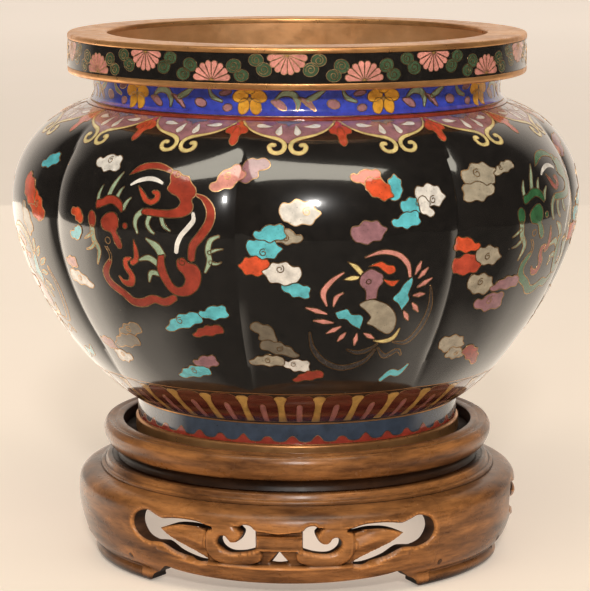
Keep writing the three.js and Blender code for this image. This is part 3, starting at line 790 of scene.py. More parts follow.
# A phoenix in the same way, and its quills, each from tip to root.
PHOENIX = [
    ("head", [(4, -13.2), (6.5, -12), (9, -13.2), (11, -14.6), (11.2, -17.4), (9.7, -19.6),
     (9.5, -23.6, 0), (5.3, -24.2, 0), (4.9, -20.4), (2.6, -17.8), (2.6, -15)]),
    ("gold", [(-2.4, -9, 0), (1.2, -10.3), (3.6, -13, 0), (2.6, -14.4, 0), (0.3, -12)]),
    ("gold", [(-3.6, -15.8, 0), (-0.6, -14.3), (2.2, -14.6, 0), (2, -15.6), (-0.6, -16.2)]),
    ("comb", [(5.2, -11.2, 0), (9.7, -9.4), (12.4, -10.8), (14.8, -11.2), (15.6, -13.4), (13.2, -14.5),
     (11, -13), (8.6, -11.3)]),
    ("comb", [(10.8, -15.8, 0), (14, -16.8), (17.6, -16.8, 0), (15.4, -19.2), (12.8, -18)]),
    ("feather", [(4, -7.7), (10, -6), (16, -7.2), (20.2, -11), (21.6, -15.6)], [0.5, 1.7, 2, 2.1, 1.3]),
    ("feather", [(-3.6, -13.2), (-7.6, -16.2), (-10.5, -20.8), (-9, -26)], [0.8, 2, 2.4, 0.8]),
    ("feather", [(-3.2, -21), (-5.6, -22.6), (-6.5, -26.2)], [0.6, 2, 0.7]),
    ("coat", [(3.2, -25.8), (6.9, -24), (10.4, -24.7), (14.9, -27), (18.4, -31.3), (19.1, -36.3),
     (16.9, -39.2), (13, -37.6), (9.6, -35.2), (7.1, -34), (8.2, -31.4), (5.8, -28.4)]),
    ("wing", [(-5.7, -28.9, 0), (-3.1, -27.9), (-1, -27.6), (0.6, -29.8), (4, -30.1), (5.3, -32),
     (4.6, -36.4, 0), (1.1, -34.3), (-1.4, -31.9), (-4.4, -31.5)]),
    ("wing", [(22.7, -16, 0), (23.1, -18.4), (22.1, -22.7), (22.9, -25.2), (20.4, -29.2, 0), (18.5, -26.4),
     (15.9, -24.1), (18.2, -21.3), (19.7, -18.4)]),
    ("gold", [(11.2, -42), (15.5, -42.5), (19.4, -41.3), (21.4, -37.2)], [0.5, 1.8, 2.2, 0.6]),
    ("plume", [(-15, -37.5), (-13.4, -45), (-8, -51.6), (0, -54.6), (8.4, -52), (12.6, -46.4)],
     [0.6, 2, 2.4, 2.6, 2.2, 0.8]),
    ("plume", [(0.6, -45.6), (5, -47.2), (9.6, -46.2), (13, -43.6)], [0.6, 1.8, 1.8, 0.6]),
    ("plume", [(20, -43.2), (26.4, -43.6), (31.2, -37.4), (33.2, -29), (31.4, -20.4)],
     [0.6, 2.2, 2.4, 2, 0.6]),
    ("plume", [(13.6, -45.4), (17.8, -49.8), (23, -47.4), (25.6, -49.8)], [0.6, 2, 2, 0.8]),
    ("wing", [(19.8, -62.4), (23.6, -58.8), (28, -59.6), (31.6, -55.6)], [2.2, 3.4, 3.2, 1.2]),
]
QUILLS = [
    ((-16.6, -26.8), (-8.8, -29.4)), ((-13.6, -32.2), (-6.2, -33.2)), ((-8.4, -37.8), (-3.2, -35)),
    ((-3.7, -41.4), (-1, -37.8)), ((3.3, -43.6), (3.6, -38.4)), ((11.2, -41), (6.6, -38.4)),
    ((25.6, -10.4), (23.8, -15)), ((28.8, -13), (25.4, -16.6)), ((31.2, -17.2), (25.6, -20.2)),
    ((29.2, -23.2), (24.4, -23.4)), ((28, -30.4), (24.6, -26.6)), ((24.4, -33.8), (21.6, -29.8)),
]


def phoenix(sheet, at, head, feather, wing, coat):
    """A phoenix with spread wings and curling tail plumes, drawn about the middle of its lobe."""
    sheet.at = at
    draw(sheet, PHOENIX, {"head": head, "feather": feather, "wing": wing, "coat": coat,
                          "gold": "cream", "comb": "orange", "plume": "grey"})
    for tip, root in QUILLS:
        middle = ((tip[0] + root[0]) / 2, (tip[1] + root[1]) / 2)
        sheet.brush(feather, [tip, middle, root], [0.7, 2.2, 0.8])
    # the ring of the eye
    sheet.wire(oval(at + 5.8, -16.8, 0.9, 0.9), True, lift=LAID_WIRE)


# Clouds about the middle of a lobe: colour, shape, u, v, size, tilt, place of the curl, mirrored or not.
# These are a dragon's.
DRAGON_CLOUDS = [
    ("white", "puff", -12.4, 23.2, 1, 0, (0.6, 1.2)),
    ("turquoise", "long", 19.4, -34.4, 1.05, 12, (-1, 0.4)),
    ("turquoise", "puff", 32.6, -30.2, 0.85, 8),
    ("rust", "long", 29, -38, 0.8, 4),
    ("stone", "long", -9.5, -41.5, 1, 14, (1, 0.4)),
    ("stone", "long", -14, -46.6, 1.05, 4),
    ("orange", "heart", -23.4, 3, 0.62, 0),
    ("turquoise", "heart", -24.2, -3.4, 0.62, 180, None, True),
    ("white", "long", -28, -21.4, 0.95, 0, (0.4, 0.2), True),
    ("pink", "puff", -31.5, -15.4, 0.62, 0),
    ("turquoise", "long", 16.8, -58.6, 1.05, 4, (0.6, 0.4)),
    ("mauve", "puff", 24.4, -53, 0.85, 10),
    ("rust", "puff", -30, -50, 0.85, -6),
    ("white", "puff", -22, -55.4, 0.9, 4, (0.6, 1), True),
]
# A phoenix's clouds, left and right of it.
LEFT_CLOUDS = [
    ("mauve", "heart", -36.2, 23.4, 1.05, 10, None, True),
    ("pink", "puff", -46, 19.4, 1, 34, (0.6, 0.8)),
    ("white", "round", -19.4, 8.2, 1.08, -6, (2.6, 0.6)),
    ("turquoise", "puff", -29.6, 0.8, 0.85, 8),
    ("beige", "puff", -23.4, -0.2, 0.78, -8, (0.6, -0.6), True),
    ("turquoise", "round", -32, -4.4, 0.98, -4, (0.2, -1.6)),
    ("orange", "round", -35.2, -11, 0.9, 6, None, True),
    ("white", "round", -25, -13.4, 1.05, 0, (1, 1.6), True),
    ("turquoise", "puff", -20.4, -19.8, 0.8, -14),
    ("stone", "heart", -33.4, -38.6, 1, -22),
    ("stone", "long", -27.2, -45, 1, -8, (0, 0), True),
    ("beige", "long", -33, -51, 0.95, -6, (0.6, 0)),
    ("white", "puff", -20.4, -53.2, 0.9, -8, (-1.2, 0.4)),
    ("rust", "long", -15, -58.6, 0.85, 4),
]
RIGHT_CLOUDS = [
    ("orange", "puff", 5.4, 20.4, 0.86, 0),
    ("orange", "round", 9.4, 16.2, 0.86, -34),
    ("turquoise", "round", 15.6, 16.2, 0.72, 80),
    ("white", "round", 29.4, 12.8, 1, -12, (1.4, -1.4)),
    ("turquoise", "puff", 19, 4.6, 0.82, 8),
    ("white", "heart", 27.4, 8.8, 0.66, 150),
    ("turquoise", "round", 21.6, 9.6, 0.74, 0, (3.4, 1)),
    ("mauve", "round", 4.8, 1.2, 0.98, 4),
]
# The clouds of the dragon right of a phoenix, which stand further out.
EDGE_CLOUDS = [
    ("beige", "round", -31.6, 18.4, 1.2, 8, (-0.6, 0.8)),
    ("beige", "puff", -33.4, 12.6, 1.02, 6, None, True),
    ("beige", "long", -19, 20.6, 0.72, 6, (-2, 0)),
    ("orange", "puff", -39.4, -6.2, 0.8, -10, None, True),
    ("ember", "round", -38.2, -13.4, 1, 0),
    ("white", "round", -29.8, -10.6, 0.9, -14, (0, -0.6)),
    ("beige", "round", -30.4, -21.6, 1, -20, (-0.4, 0.6)),
    ("mauve", "long", -17.4, -22.6, 0.9, -4),
    ("mauve", "puff", -23, -30, 1.1, 0, (0, 0.6)),
    ("white", "round", -33.6, -47.4, 1, -14),
    ("white", "puff", -28.6, -52.6, 0.8, -12, (0, 0), True),
    ("rust", "long", -17.6, -54.4, 1, -24, None, True),
]
# The clouds on the right half of the phoenix left of the red dragon.
SIDE_CLOUDS = [
    ("turquoise", "puff", 33, 20, 0.8, 20),
    ("orange", "round", 24, 8.6, 1.05, -50),
    ("orange", "round", 30.6, 3, 1.05, -40, (0.4, 0.4), True),
    ("beige", "puff", 22, -2.6, 0.95, -60),
    ("rust", "long", 4, -30, 0.9, 0),
]


def scatter(sheet, at, clouds, swap):
    """Lays a list of clouds about a lobe, with some colours changed."""
    for i, (colour, shape, u, *rest) in enumerate(clouds):
        lift = CELL_LIFT + CELL_STEP * (i % 4)
        cloud(sheet, swap.get(colour, colour), shape, at + u, *rest, lift=lift)


# How the colours of the clouds change from one lobe to another.
PALER = {"white": "beige", "turquoise": "mauve"}
BLUER = {"orange": "turquoise", "turquoise": "white"}
# Each dragon and the phoenix to its right, in the colours of its head, feathers, wings and coat,
# each followed by the change of its clouds.
PAIRS = [
    ("red", {}, ("mauve", "pink", "turquoise", "beige"), {}),
    ("green", PALER, ("rust", "celadon", "turquoise", "mauve"), {}),
    ("red", {}, ("mauve", "pink", "white", "beige"), PALER),
    ("blue", BLUER, ("beige", "celadon", "turquoise", "rust"), {}),
]


def make_figures():
    """Dragons and phoenixes in turn round the belly, each among its clouds."""
    dragons, birds, clouds = (Sheet(name, WALL) for name in ("dragon", "phoenix", "cloud"))
    lobe = LOBE_ANGLE * BELLY_RADIUS
    first = (FIRST_CREASE - LOBE_ANGLE / 2) * BELLY_RADIUS
    for i, (kind, dragon_swap, dress, phoenix_swap) in enumerate(PAIRS):
        at = first + 2 * i * lobe
        dragon(dragons, at, kind)
        scatter(clouds, at, EDGE_CLOUDS if i == 1 else DRAGON_CLOUDS, dragon_swap)
        at += lobe
        phoenix(birds, at, *dress)
        scatter(clouds, at, LEFT_CLOUDS + (SIDE_CLOUDS if i == 3 else RIGHT_CLOUDS), phoenix_swap)
    for sheet in (dragons, birds, clouds):
        sheet.finish()


# ------------------------------------------------------------------ the shoulder's lappets

LAPPETS = 15
LAPPET_HALF = math.pi * BELLY_RADIUS / LAPPETS
LAPPET_TOP = V_HIGH - 0.35
DROP_WIRE = 0.22
# A lappet's outlines on its right side, about its middle.
LAPPET = [(1.2, 35.4, 0), (3, 37.9), (6, 39), (9.5, 39.9), (13, 41.3), (16.4, 43.6), (19.2, 46.4),
          (LAPPET_HALF - 1.2, LAPPET_TOP, 0)]
SCROLL = [(5.4, 34.4), (6.6, 34.6), (7.3, 33.4), (6.7, 31.6), (4.8, 30.6), (2.4, 31.2), (1.2, 33.4),
          (1.8, 35.8), (4.2, 37.7), (8, 38.9), (12, 40.3), (15.8, 42.5), (19, 45.6),
          (LAPPET_HALF - 0.8, LAPPET_TOP)]
SCROLL_WIDTHS = [1.9, 1.9, 1.7, 1.7, 1.8, 1.9, 1.9, 1.8, 1.5, 1.3, 1.2, 1.1, 1, 1, 1, 1]
DROP = [(3.9, 39.6), (5.6, 41.4), (4.8, 44), (3.2, 47, 0), (2.7, 43.6), (2.5, 41)]
BAR = [(6.6, 45.6, 0), (10.4, 44.6), (13.8, 45), (14.4, 47), (12, 47.7), (9.6, 46.6)]
SHADE = [(0, 45.6), (1.4, 47.4), (5, 48.4), (6.5, LAPPET_TOP, 0)]
PENDANT = [(0, 33.7), (1.7, 35.6), (1.8, 38.8), (2.6, 40.3), (4.4, 40.8), (5, 43.2), (3.6, 45.5),
           (1.7, 46.8), (1.9, LAPPET_TOP, 0)]
VEIN = [(0, 45.6), (1.2, 43.4), (1.5, 40.6)]


def make_lappets():
    """Scrolled lappets round the shoulder, with a red pendant between each two."""
    sheet = Sheet("lappet", WALL)
    on_lappet = CELL_LIFT * 1.6
    for _ in sheet.repeats(LAPPETS, -2.05):
        sheet.shape("mauve", symmetric(LAPPET), step=1, wire=False)
        for side in (-1, 1):
            path = moved(SCROLL, sheet.at, flip=side < 0)
            sheet.cell("cream", stroke(path, SCROLL_WIDTHS, 0.5), UPPER_CELL, width=THIN_WIRE)
            for outline in (DROP, BAR):
                sheet.shape("white", moved(outline, flip=side < 0), on_lappet, width=DROP_WIRE)
        sheet.shape("steel", symmetric(SHADE), on_lappet, width=THIN_WIRE)
        sheet.at += LAPPET_HALF
        sheet.shape("ember", symmetric(PENDANT), on_lappet)
        for side in (-1, 1):
            sheet.vein(moved(VEIN, flip=side < 0), width=THIN_WIRE, lift=LAID_WIRE)
    sheet.finish()


# ------------------------------------------------------------------ rim, neck and base borders

FLOWERS = 20
FLOWER_PETALS = 8
PETAL_REACH = 6.9
# A petal's outline: the share of its reach, and how far to the side.
FLOWER_PETAL = [(0.1, 0), (0.5, -0.75), (0.85, -1.2), (1, -0.75), (1.04, 0), (1, 0.75), (0.85, 1.2),
                (0.5, 0.75)]
CURL_WIRE = 0.3
# A rim leaf's place, half sizes and tilt, then the radius and the starting angle of its curl.
RIM_LEAVES = [(8.2, 5.3, 2.8, 2.4, 20, 1.8, 200), (11, 2, 2.7, 2.2, 0, 1.7, 90)]


def half_flower(sheet, foot, up):
    """Half a chrysanthemum that grows from one edge of the rim band."""
    for i in range(FLOWER_PETALS):
        angle = math.pi * (i + 0.5) / FLOWER_PETALS
        u, v = math.cos(angle), up * math.sin(angle)
        petal = [(u * along * PETAL_REACH - v * wide, foot + v * along * PETAL_REACH + u * wide)
                 for along, wide in FLOWER_PETAL]
        sheet.shape("pink", petal, step=0.6, width=THIN_WIRE)
    eye = [(-0.9, foot, 0), (0, foot + up * 0.9), (0.9, foot, 0)]
    sheet.shape("ochre", eye, UPPER_CELL, 0.4, width=FINE_WIRE)


def make_rim_band():
    """Half flowers in turn from the lower and the upper edge, with two curled leaves on each side."""
    sheet = Sheet("rim", RIM)
    for i in sheet.repeats(FLOWERS, -2.3):
        foot, up = (RIM_BOTTOM + 3.2, 1) if i % 2 else (RIM_TOP - 2.5, -1)
        half_flower(sheet, foot, up)
        for side in (-1, 1):
            for u, rise, half_u, half_v, tilt, curl, start in RIM_LEAVES:
                u, v = side * u, foot + up * rise
                sheet.oval("leaf", u, v, half_u, half_v, tilt * side, width=THIN_WIRE)
                curled = spiral(sheet.at + u, v, curl, 1.4, start, side * up)
                sheet.wire(curled, width=CURL_WIRE, lift=LAID_WIRE)
    sheet.finish()


NECK_REPEATS = 10
# The neck's scroll: the lines and widths of its leaves and long buds, and its round buds.
NECK_STROKES = [
    ("celadon", [(9.4, 180.6), (12.2, 182.6), (15.6, 182.2), (17.2, 179.6), (17, 177)],
     [0.8, 2, 2.4, 2.2, 0.9]),
    ("blossom", [(17.4, 181.2), (20.4, 179.6), (23.2, 176.8)], [0.6, 2.4, 0.8]),
    ("celadon", [(20.8, 180.4), (23.6, 181.8), (26.6, 183.8)], [1.8, 2.2, 0.8]),
    ("celadon", [(33.2, 183.8), (34.4, 181.2), (38, 179.6)], [0.8, 1.8, 1]),
]
NECK_HEART = [(7.6, 180), (10.4, 180.4), (12.8, 178.4), (13, 176.8), (10.8, 177), (8.6, 178.6)]
NECK_BUDS = [("blossom", 29.8, 178.8, 2.4, 1.6, -14), ("blossom", 40.2, 177.4, 1.8, 1.3, 10),
             ("mauve", 39.4, 182.6, 2.4, 1, 12)]


def make_neck_band():
    """A flower and a leafy scroll, repeated round the neck."""
    sheet = Sheet("neck", NECK)
    for _ in sheet.repeats(NECK_REPEATS, -12.6):
        for side in (-1, 1):
            sheet.oval("yellow", side * 3.3, 181.6, 3.1, 2.2, -18 * side, width=THIN_WIRE)
            sheet.oval("yellow", side * 2.15, 178, 2.1, 2.9, 14 * side, width=THIN_WIRE)
        sheet.oval("yellow", 0, 183.9, 2, 1.6, lift=UPPER_CELL, width=THIN_WIRE)
        sheet.oval("ochre", 0, 180.5, 0.7, 0.8, lift=UPPER_CELL, width=FINE_WIRE)
        sheet.shape("blossom", NECK_HEART)
        for leaf in NECK_STROKES:
            sheet.brush(*leaf)
        for bud in NECK_BUDS:
            sheet.oval(*bud)
        sheet.vein([(18.2, 180.6), (20.6, 178.6), (22, 176.9)], lift=HIGH_WIRE)
    sheet.finish()


PETALS = 34
TEETH = 42


def make_petal_border():
    """Round-topped petals with a tongue in each, and a bar between each two."""
    sheet = Sheet("petal", WALL)
    low = V_LOW + 1.6
    top = PETAL_TOP - 0.7
    half = math.pi * BELLY_RADIUS / PETALS
    petal = [(half - 1.2, low, 0), (half - 1.2, top - 7), (half - 2.6, top - 2.4), (half - 5.6, top - 0.3),
             (0, top)]
    bar = [(2.5, low, 0), (1.9, top - 12), (1.8, top - 7), (2.5, top - 3.8), (3.3, top - 2.2),
           (2, top - 0.9), (0, top - 0.7)]
    tongue = [(1.5, low, 0), (1.7, top - 10), (1.4, top - 7), (0, top - 6)]
    for _ in sheet.repeats(PETALS, -4.6):
        sheet.shape("ochre", symmetric(bar), UPPER_CELL, width=FINE_WIRE)
        sheet.at += half
        sheet.shape("maroon", symmetric(petal), step=1, width=FINE_WIRE)
        sheet.shape("dusty", symmetric(tongue), CELL_LIFT * 2, width=FINE_WIRE)
    sheet.finish()


def make_foot_teeth():
    """A row of pointed teeth on the foot band, no two quite alike in height."""
    sheet = Sheet("foot", FOOT)
    base = FOOT_BEAD_TOP + 0.15
    edge = math.pi * FOOT_RADIUS / TEETH - 0.05
    for i in sheet.repeats(TEETH, -1.6):
        height = 3.2 + 0.35 * math.sin(2.4 * i)
        tooth = [(-edge, base, 0), (edge, base, 0), (edge, base + 0.9, 0), (2.6, base + 1.2),
                 (1.3, base + 2.5), (0.1, base + height), (-1.2, base + 2.6), (-2.6, base + 1.2),
                 (-edge, base + 0.9, 0)]
        sheet.shape("brick", tooth, width=FINE_WIRE)
    sheet.finish()


# ------------------------------------------------------------------ the inside

INSIDE_DEPTH = 3.3              # from the outside of the wall to the counter enamel
COUNTER = 0.8
COPPER_DEPTH = 1.45             # from the outside of the wall to the copper
COPPER_WALL = 1.4
BASE_RADIUS = 60
HIDDEN_STEP = 2.4               # the spacing of rows on the walls that the enamel hides
FLOOR_TOP = bottom_of("inside_counter_enamel")
AXIS = 0.01                     # the radius of an outline's points at the axis


def make_counter_enamel():
    """The turquoise enamel inside the vase and under it."""
    enamelled = FINISHES["inside"]
    neck = NECK_RADIUS - 3.1
    ring_piece("inside_wall", WALL, V_LOW + 6, V_HIGH - 1.5, COUNTER, enamelled, "inside_counter_enamel",
               step=HIDDEN_STEP, depth=INSIDE_DEPTH)
    turned_piece("inside_neck", [
        (neck - 0.9, NECK_BASE - 6), (neck, NECK_BASE - 5), (neck, RIM_BOTTOM), (neck - COUNTER, RIM_BOTTOM),
        (neck - COUNTER, NECK_BASE - 5),
    ], enamelled, "vase", "inside_counter_enamel")
    turned_piece("inside_floor", [
        (AXIS, FLOOR_TOP), (57, FLOOR_TOP, 2), (67, FLOOR_TOP + 7.5, 1), (66.4, FLOOR_TOP + 8.2),
        (56.6, FLOOR_TOP + COUNTER, 2), (AXIS, FLOOR_TOP + COUNTER),
    ], enamelled, "vase", "inside_counter_enamel")
    under = "underside_counter_enamel"
    low, high, edge = bottom_of(under), top_of(under), radius_of(under)
    plate = [(AXIS, low), (edge, low, 0.3), (edge, high), (AXIS, high)]
    turned_piece("underside", plate, enamelled, "vase", under)


def make_copper_body():
    """The mouth's lining and the copper between the two enamels."""
    # painted light: the lining is in the brightened copper
    turned_piece("mouth_lining", [
        (MOUTH_RADIUS, RIM_BOTTOM - 1.5, 0.3), (MOUTH_RADIUS + 1, RIM_BOTTOM - 1.5),
        (MOUTH_RADIUS + 1, RIM_TOP - 2), (MOUTH_RADIUS, RIM_TOP - 2),
    ], BRIGHTENED_LINING, "vase")
    ring_piece("copper_wall", WALL, V_LOW + 1, V_HIGH - 1, COPPER_WALL, COPPER, "copper_body",
               step=HIDDEN_STEP, depth=COPPER_DEPTH)
    outer = NECK_RADIUS - 1.3
    inner = outer - COPPER_WALL
    turned_piece("copper_neck", [
        (inner, NECK_BASE - 2.6), (outer, NECK_BASE - 1.2), (outer, RIM_BOTTOM), (inner, RIM_BOTTOM),
    ], COPPER, "vase", "copper_body")
    low, high = bottom_of("base_plate"), top_of("base_plate")
    plate = [(AXIS, low), (BASE_RADIUS, low), (BASE_RADIUS, high), (AXIS, high)]
    turned_piece("copper_base", plate, COPPER, "vase", "base_plate")


# ------------------------------------------------------------------ the stand

STAND_APRONS = 3
APRON_PITCH = TURN / STAND_APRONS
FIRST_APRON = math.radians(-4.6)
APRON_HALF = math.radians(43)
FRETWORK_RADIUS = 83.0
APRON_EDGE = APRON_HALF * FRETWORK_RADIUS
DRUM_TOP = 33.3
SEAT_RADIUS = 67.0
JOINT_GAP = 0.02                # what an apron and a leg each leave free at their joint
LEG_COLUMNS = 34
RELIEF = (11, 29, 50)           # the carved field's low and high edge and its half width
EDGE_ROUND = 1.5                # how far the carver's rounding reaches in from a pierced edge
RIDGE = 0.25                    # a point this far above its neighbours is fully rubbed
COARSE, FINE = 1.5, 0.55        # the spacing of points on plain wood and on carved wood
FINE_REACH = 2.4                # fine points surround each opening this far out

drum_curve = smooth_curve([
    (75.6, 0), (76.6, 2.2), (77.6, 4.2), (80.8, 8.5), (83, 14.5), (84.2, 20), (84.5, 26.5), (83.4, 30.4),
    (80.6, 32.5), (77.2, DRUM_TOP - 0.15), (76, DRUM_TOP),
], False, 0.5)
DRUM = Skin(drum_curve, FRETWORK_RADIUS, zero=0)
DRUM_TOP_V = float(np.interp(DRUM_TOP, DRUM.height, DRUM.v))
DRUM_INSIDE = np.array([(69.5, 0), (71.5, 3), (77, 14.5), (78.5, 28), (71, 30.5), (64, DRUM_TOP)], float)


def drum_back(u, v):
    """Points on the inside of the drum for flat places on its outside."""
    height = np.interp(v, DRUM.v, DRUM.height)
    return around(np.interp(height, DRUM_INSIDE[:, 1], DRUM_INSIDE[:, 0]), u / FRETWORK_RADIUS, height)


def drawn(outline, closed=True, step=0.7):
    """A smooth outline given by (u, height), as (u, distance up the drum's skin)."""
    line = smooth_curve(outline, closed, step)
    return np.stack([line[:, 0], np.interp(line[:, 1], DRUM.height, DRUM.v)], 1)


# Openings and edges of an apron, on the right of its middle, as (u, height).
EYE_AND_SLITS = [
    (27.6, 11.9, 0), (33, 12), (40, 14.1), (45.6, 16.9), (49, 17), (53, 16.7), (57.8, 18.4), (60.2, 22.6),
    (58.4, 27), (53.6, 29), (49.5, 27.8), (46, 26.8), (42, 27.4), (37.5, 27.8), (31.5, 27.6), (27, 26.4),
    (25, 25.4, 0), (28, 24.8), (33, 25.5), (38.5, 25.3), (42.5, 24.5), (46.5, 23, 0), (42.4, 20.2),
    (36, 16.6),
]
SCROLL_HOLE = [
    (8.8, 18.2, 0), (13.5, 16.9), (18.5, 16.7), (21.8, 18.4), (22.8, 20.8), (21.6, 22.8), (19.6, 22.3),
    (18.2, 20.4), (16.2, 20.3), (14.2, 22), (13.2, 24.6), (14.6, 26.4), (12.8, 27.8), (10.2, 27.3),
    (8.8, 25.6, 0),
]
MIDDLE_HOLE = [(0, 12.5), (3.1, 12.9, 0), (1.3, 15.2), (0, 17, 0)]
LOWER_EDGE = [
    (0, 5), (18, 5.3), (33, 6.2), (42, 7.2), (46.4, 8), (49, 6.6), (52.5, 4.4), (55.6, 3.2), (57, 1.2),
    (60, 0.2),
]
SCROLL_SPINE = smooth_curve([
    (17, 23.2), (18.4, 25), (21.4, 25.2), (24.3, 22.8), (25.2, 19), (23.4, 15.6), (19.4, 14.3), (13, 14.6),
    (9.4, 15.6),
], False, 1)
LEAF_RIB = [(29.5, 19.4), (36, 21.6), (45.5, 23.2)]
SLIT_RIM = [(29, 10.6), (36, 11.6), (44, 14.4), (48, 15)]


def path_distance(points, path):
    """Distance from each flat point to a broken line."""
    path = np.asarray(path, float)
    best = np.full(len(points), 1e9)
    for a, b in zip(path[:-1], path[1:]):
        span = b - a
        t = np.clip(((points - a) @ span) / max(span @ span, 1e-9), 0, 1)
        best = np.minimum(best, np.hypot(*(points - a - t[:, None] * span).T))
    return best


def loop_distance(points, loops):
    """Distance from each flat point to the nearest of some closed outlines."""
    return np.min([path_distance(points, np.vstack([loop, loop[:1]])) for loop in loops], axis=0)


def carving(u, height):
    """How far the carved front stands off the drum's turned surface."""
    across = np.abs(u)
    flat = np.stack([across, height], -1)
    # the sunk field, with its scroll, the rib of its leaf and the groove between them
    field_top = np.interp(across, [0, 9, 16, 24, 30], [24.6, 25.8, 27.2, 26.6, 25.4])
    field = soft_step(height, 11.6, 12.4) * (1 - soft_step(height, field_top - 0.5, field_top + 0.3))
    field *= 1 - soft_step(across, 29, 46)
    lift = -2 * field
    lift += 2.1 * field * np.sqrt(np.clip(1 - (path_distance(flat, SCROLL_SPINE) / 3.2) ** 2, 0, 1))
    rib = np.clip(1 - path_distance(flat, LEAF_RIB) / 3.4, 0, 1)
    lift += 1.7 * field * rib * soft_step(across, 27.2, 28.6)
    lift -= 0.5 * np.exp(-((across - 27.4) / 0.35) ** 2) * field
    # the two edges of the middle bar, the rail under the field and the rim of the side slits
    for level in (17.9, 23.4):
        bar = (1 - soft_step(across, 8, 8.8)) * soft_step(height, 12.8, 14)
        lift += 1.25 * np.exp(-((height - level) / 0.42) ** 2) * bar
    rail = np.exp(-((height - 11.3 - 0.0005 * across ** 2) / 0.4) ** 2)
    lift += 0.5 * rail * (1 - soft_step(across, 28, 34))
    lift += 0.5 * np.exp(-(path_distance(flat, SLIT_RIM) / 0.8) ** 2) * soft_step(across, 28, 31)
    # the foot's round toe and the groove over it
    toe = soft_step(across, 53.5, 57.5)
    lift += toe * 1.7 * np.sqrt(np.clip(1 - ((height - 2.1) / 2.3) ** 2, 0, 1))
    lift -= toe * 0.5 * np.exp(-((height - 5) / 0.6) ** 2)
    return lift


def carved_sheet(outline, holes):
    """Flat triangles of a pierced piece, finer on its relief and beside its pierced edges."""
    loops = [outline] + holes
    low, high, half = RELIEF
    inner = []
    for spacing in (COARSE, FINE):
        grid = grid_in(outline, spacing)
        for hole in holes:
            grid = grid[~inside(hole, grid)]
        from_hole = loop_distance(grid, holes)
        from_edge = loop_distance(grid, [outline])
        relief = (np.abs(grid[:, 0]) < half) & (grid[:, 1] < high) & (grid[:, 1] > low)
        if spacing == COARSE:
            keep = (from_hole > FINE_REACH) & ~relief & (from_edge > 0.6)
        else:
            keep = (from_hole > 0.3) & ((from_hole < FINE_REACH) | relief) & (from_edge > 0.3)
        inner.append(grid[keep])
    ends = np.cumsum([len(loop) for loop in loops])
    borders = [tuple(range(end - len(loop), end)) for loop, end in zip(loops, ends)]
    points = np.vstack(loops + inner)
    result = delaunay_2d_cdt([tuple(p) for p in points], [], borders, 1, 1e-5)
    faces = [face for face, source in zip(result[2], result[5]) if set(source) == {0}]
    used = sorted({i for face in faces for i in face})
    index = {old: new for new, old in enumerate(used)}
    return np.array([tuple(result[0][i]) for i in used]), [tuple(index[i] for i in face) for face in faces]


def ridges(faces, lift):
    """How far each point stands above its neighbours, from 0 to 1: ridges are rubbed pale."""
    pairs = np.array([(a, b) for face in faces for a, b in zip(face, face[1:] + face[:1])])
    total, neighbours = np.zeros(len(lift)), np.zeros(len(lift))
    np.add.at(total, pairs[:, 0], lift[pairs[:, 1]])
    np.add.at(neighbours, pairs[:, 0], 1)
    return np.clip((lift - total / np.maximum(neighbours, 1)) / RIDGE, 0, 1)


def carved_piece(name, flat, faces, lift, middle, node):
    """Wraps a flat piece on the drum: a carved front, a plain back and the walls between."""
    u = flat[:, 0] + middle * FRETWORK_RADIUS
    points, all_faces = shell(DRUM.place(u, flat[:, 1], lift), drum_back(u, flat[:, 1]), faces)
    return make_piece(name, points, all_faces, WOOD, "stand", node)


def apron_outline():
    """The flat outline of an apron: its cut-out lower edge, its sides and its top."""
    half = APRON_EDGE - JOINT_GAP
    right = LOWER_EDGE + [(half, 0, 0)]
    lower_edge = drawn(mirrored(right)[:-1] + right, False, 1.2)
    side = np.arange(lower_edge[-1, 1] + 1.2, DRUM_TOP_V - 0.6, 1.2)
    across = np.arange(half - 1.5, -half + 0.8, -1.5)
    return np.vstack([
        lower_edge,
        [(half, v) for v in side], [(half, DRUM_TOP_V)],
        [(u, DRUM_TOP_V) for u in across], [(-half, DRUM_TOP_V)],
        [(-half, v) for v in side[::-1]],
    ])


def make_drum():
    """The three pierced aprons, with their backs and the walls of their openings in a darker copy of the
    wood that paints shade, and the legs between them.
    """
    right_holes = [EYE_AND_SLITS, SCROLL_HOLE]
    left_holes = [mirrored(hole) for hole in right_holes]
    holes = [drawn(hole) for hole in (*right_holes, *left_holes, symmetric(MIDDLE_HOLE))]
    flat, faces = carved_sheet(apron_outline(), holes)
    edge = np.clip(loop_distance(flat, holes) / EDGE_ROUND, 0, 1)
    lift = carving(flat[:, 0], np.interp(flat[:, 1], DRUM.v, DRUM.height))
    # the carver has rounded the edge of each opening
    lift -= 0.8 * EDGE_ROUND * (1 - np.sqrt(1 - (1 - edge) ** 2))
    rubbed = np.concatenate([ridges(faces, lift), np.zeros(len(flat))])

    leg_half = APRON_PITCH / 2 * FRETWORK_RADIUS - APRON_EDGE - JOINT_GAP
    rows = np.append(np.arange(0, DRUM_TOP_V - 0.4, FINE), DRUM_TOP_V)
    columns = np.linspace(-leg_half, leg_half, LEG_COLUMNS)
    leg_flat = np.stack(np.meshgrid(columns, rows), -1).reshape(-1, 2)
    leg_faces = grid_faces(len(rows), len(columns), False, False)
    leg_height = np.interp(leg_flat[:, 1], DRUM.v, DRUM.height)
    leg_lift = carving(np.full(len(leg_flat), APRON_EDGE), leg_height)

    for i in range(STAND_APRONS):
        middle = FIRST_APRON + i * APRON_PITCH
        apron = carved_piece(f"carved_apron_{i + 1}", flat, faces, lift, middle, f"apron_{i + 1}").data
        # painted shade: the back and the walls of the openings take the darker copy of the wood
        apron.materials.append(SHADED_WOOD[0])
        for polygon in apron.polygons[len(faces):]:
            polygon.material_index = 1
        apron.attributes.new("wear", "FLOAT", "POINT").data.foreach_set("value", rubbed)
        middle += APRON_PITCH / 2
        carved_piece(f"carved_leg_{i + 1}", leg_flat, leg_faces, leg_lift, middle, f"leg_{i + 1}")


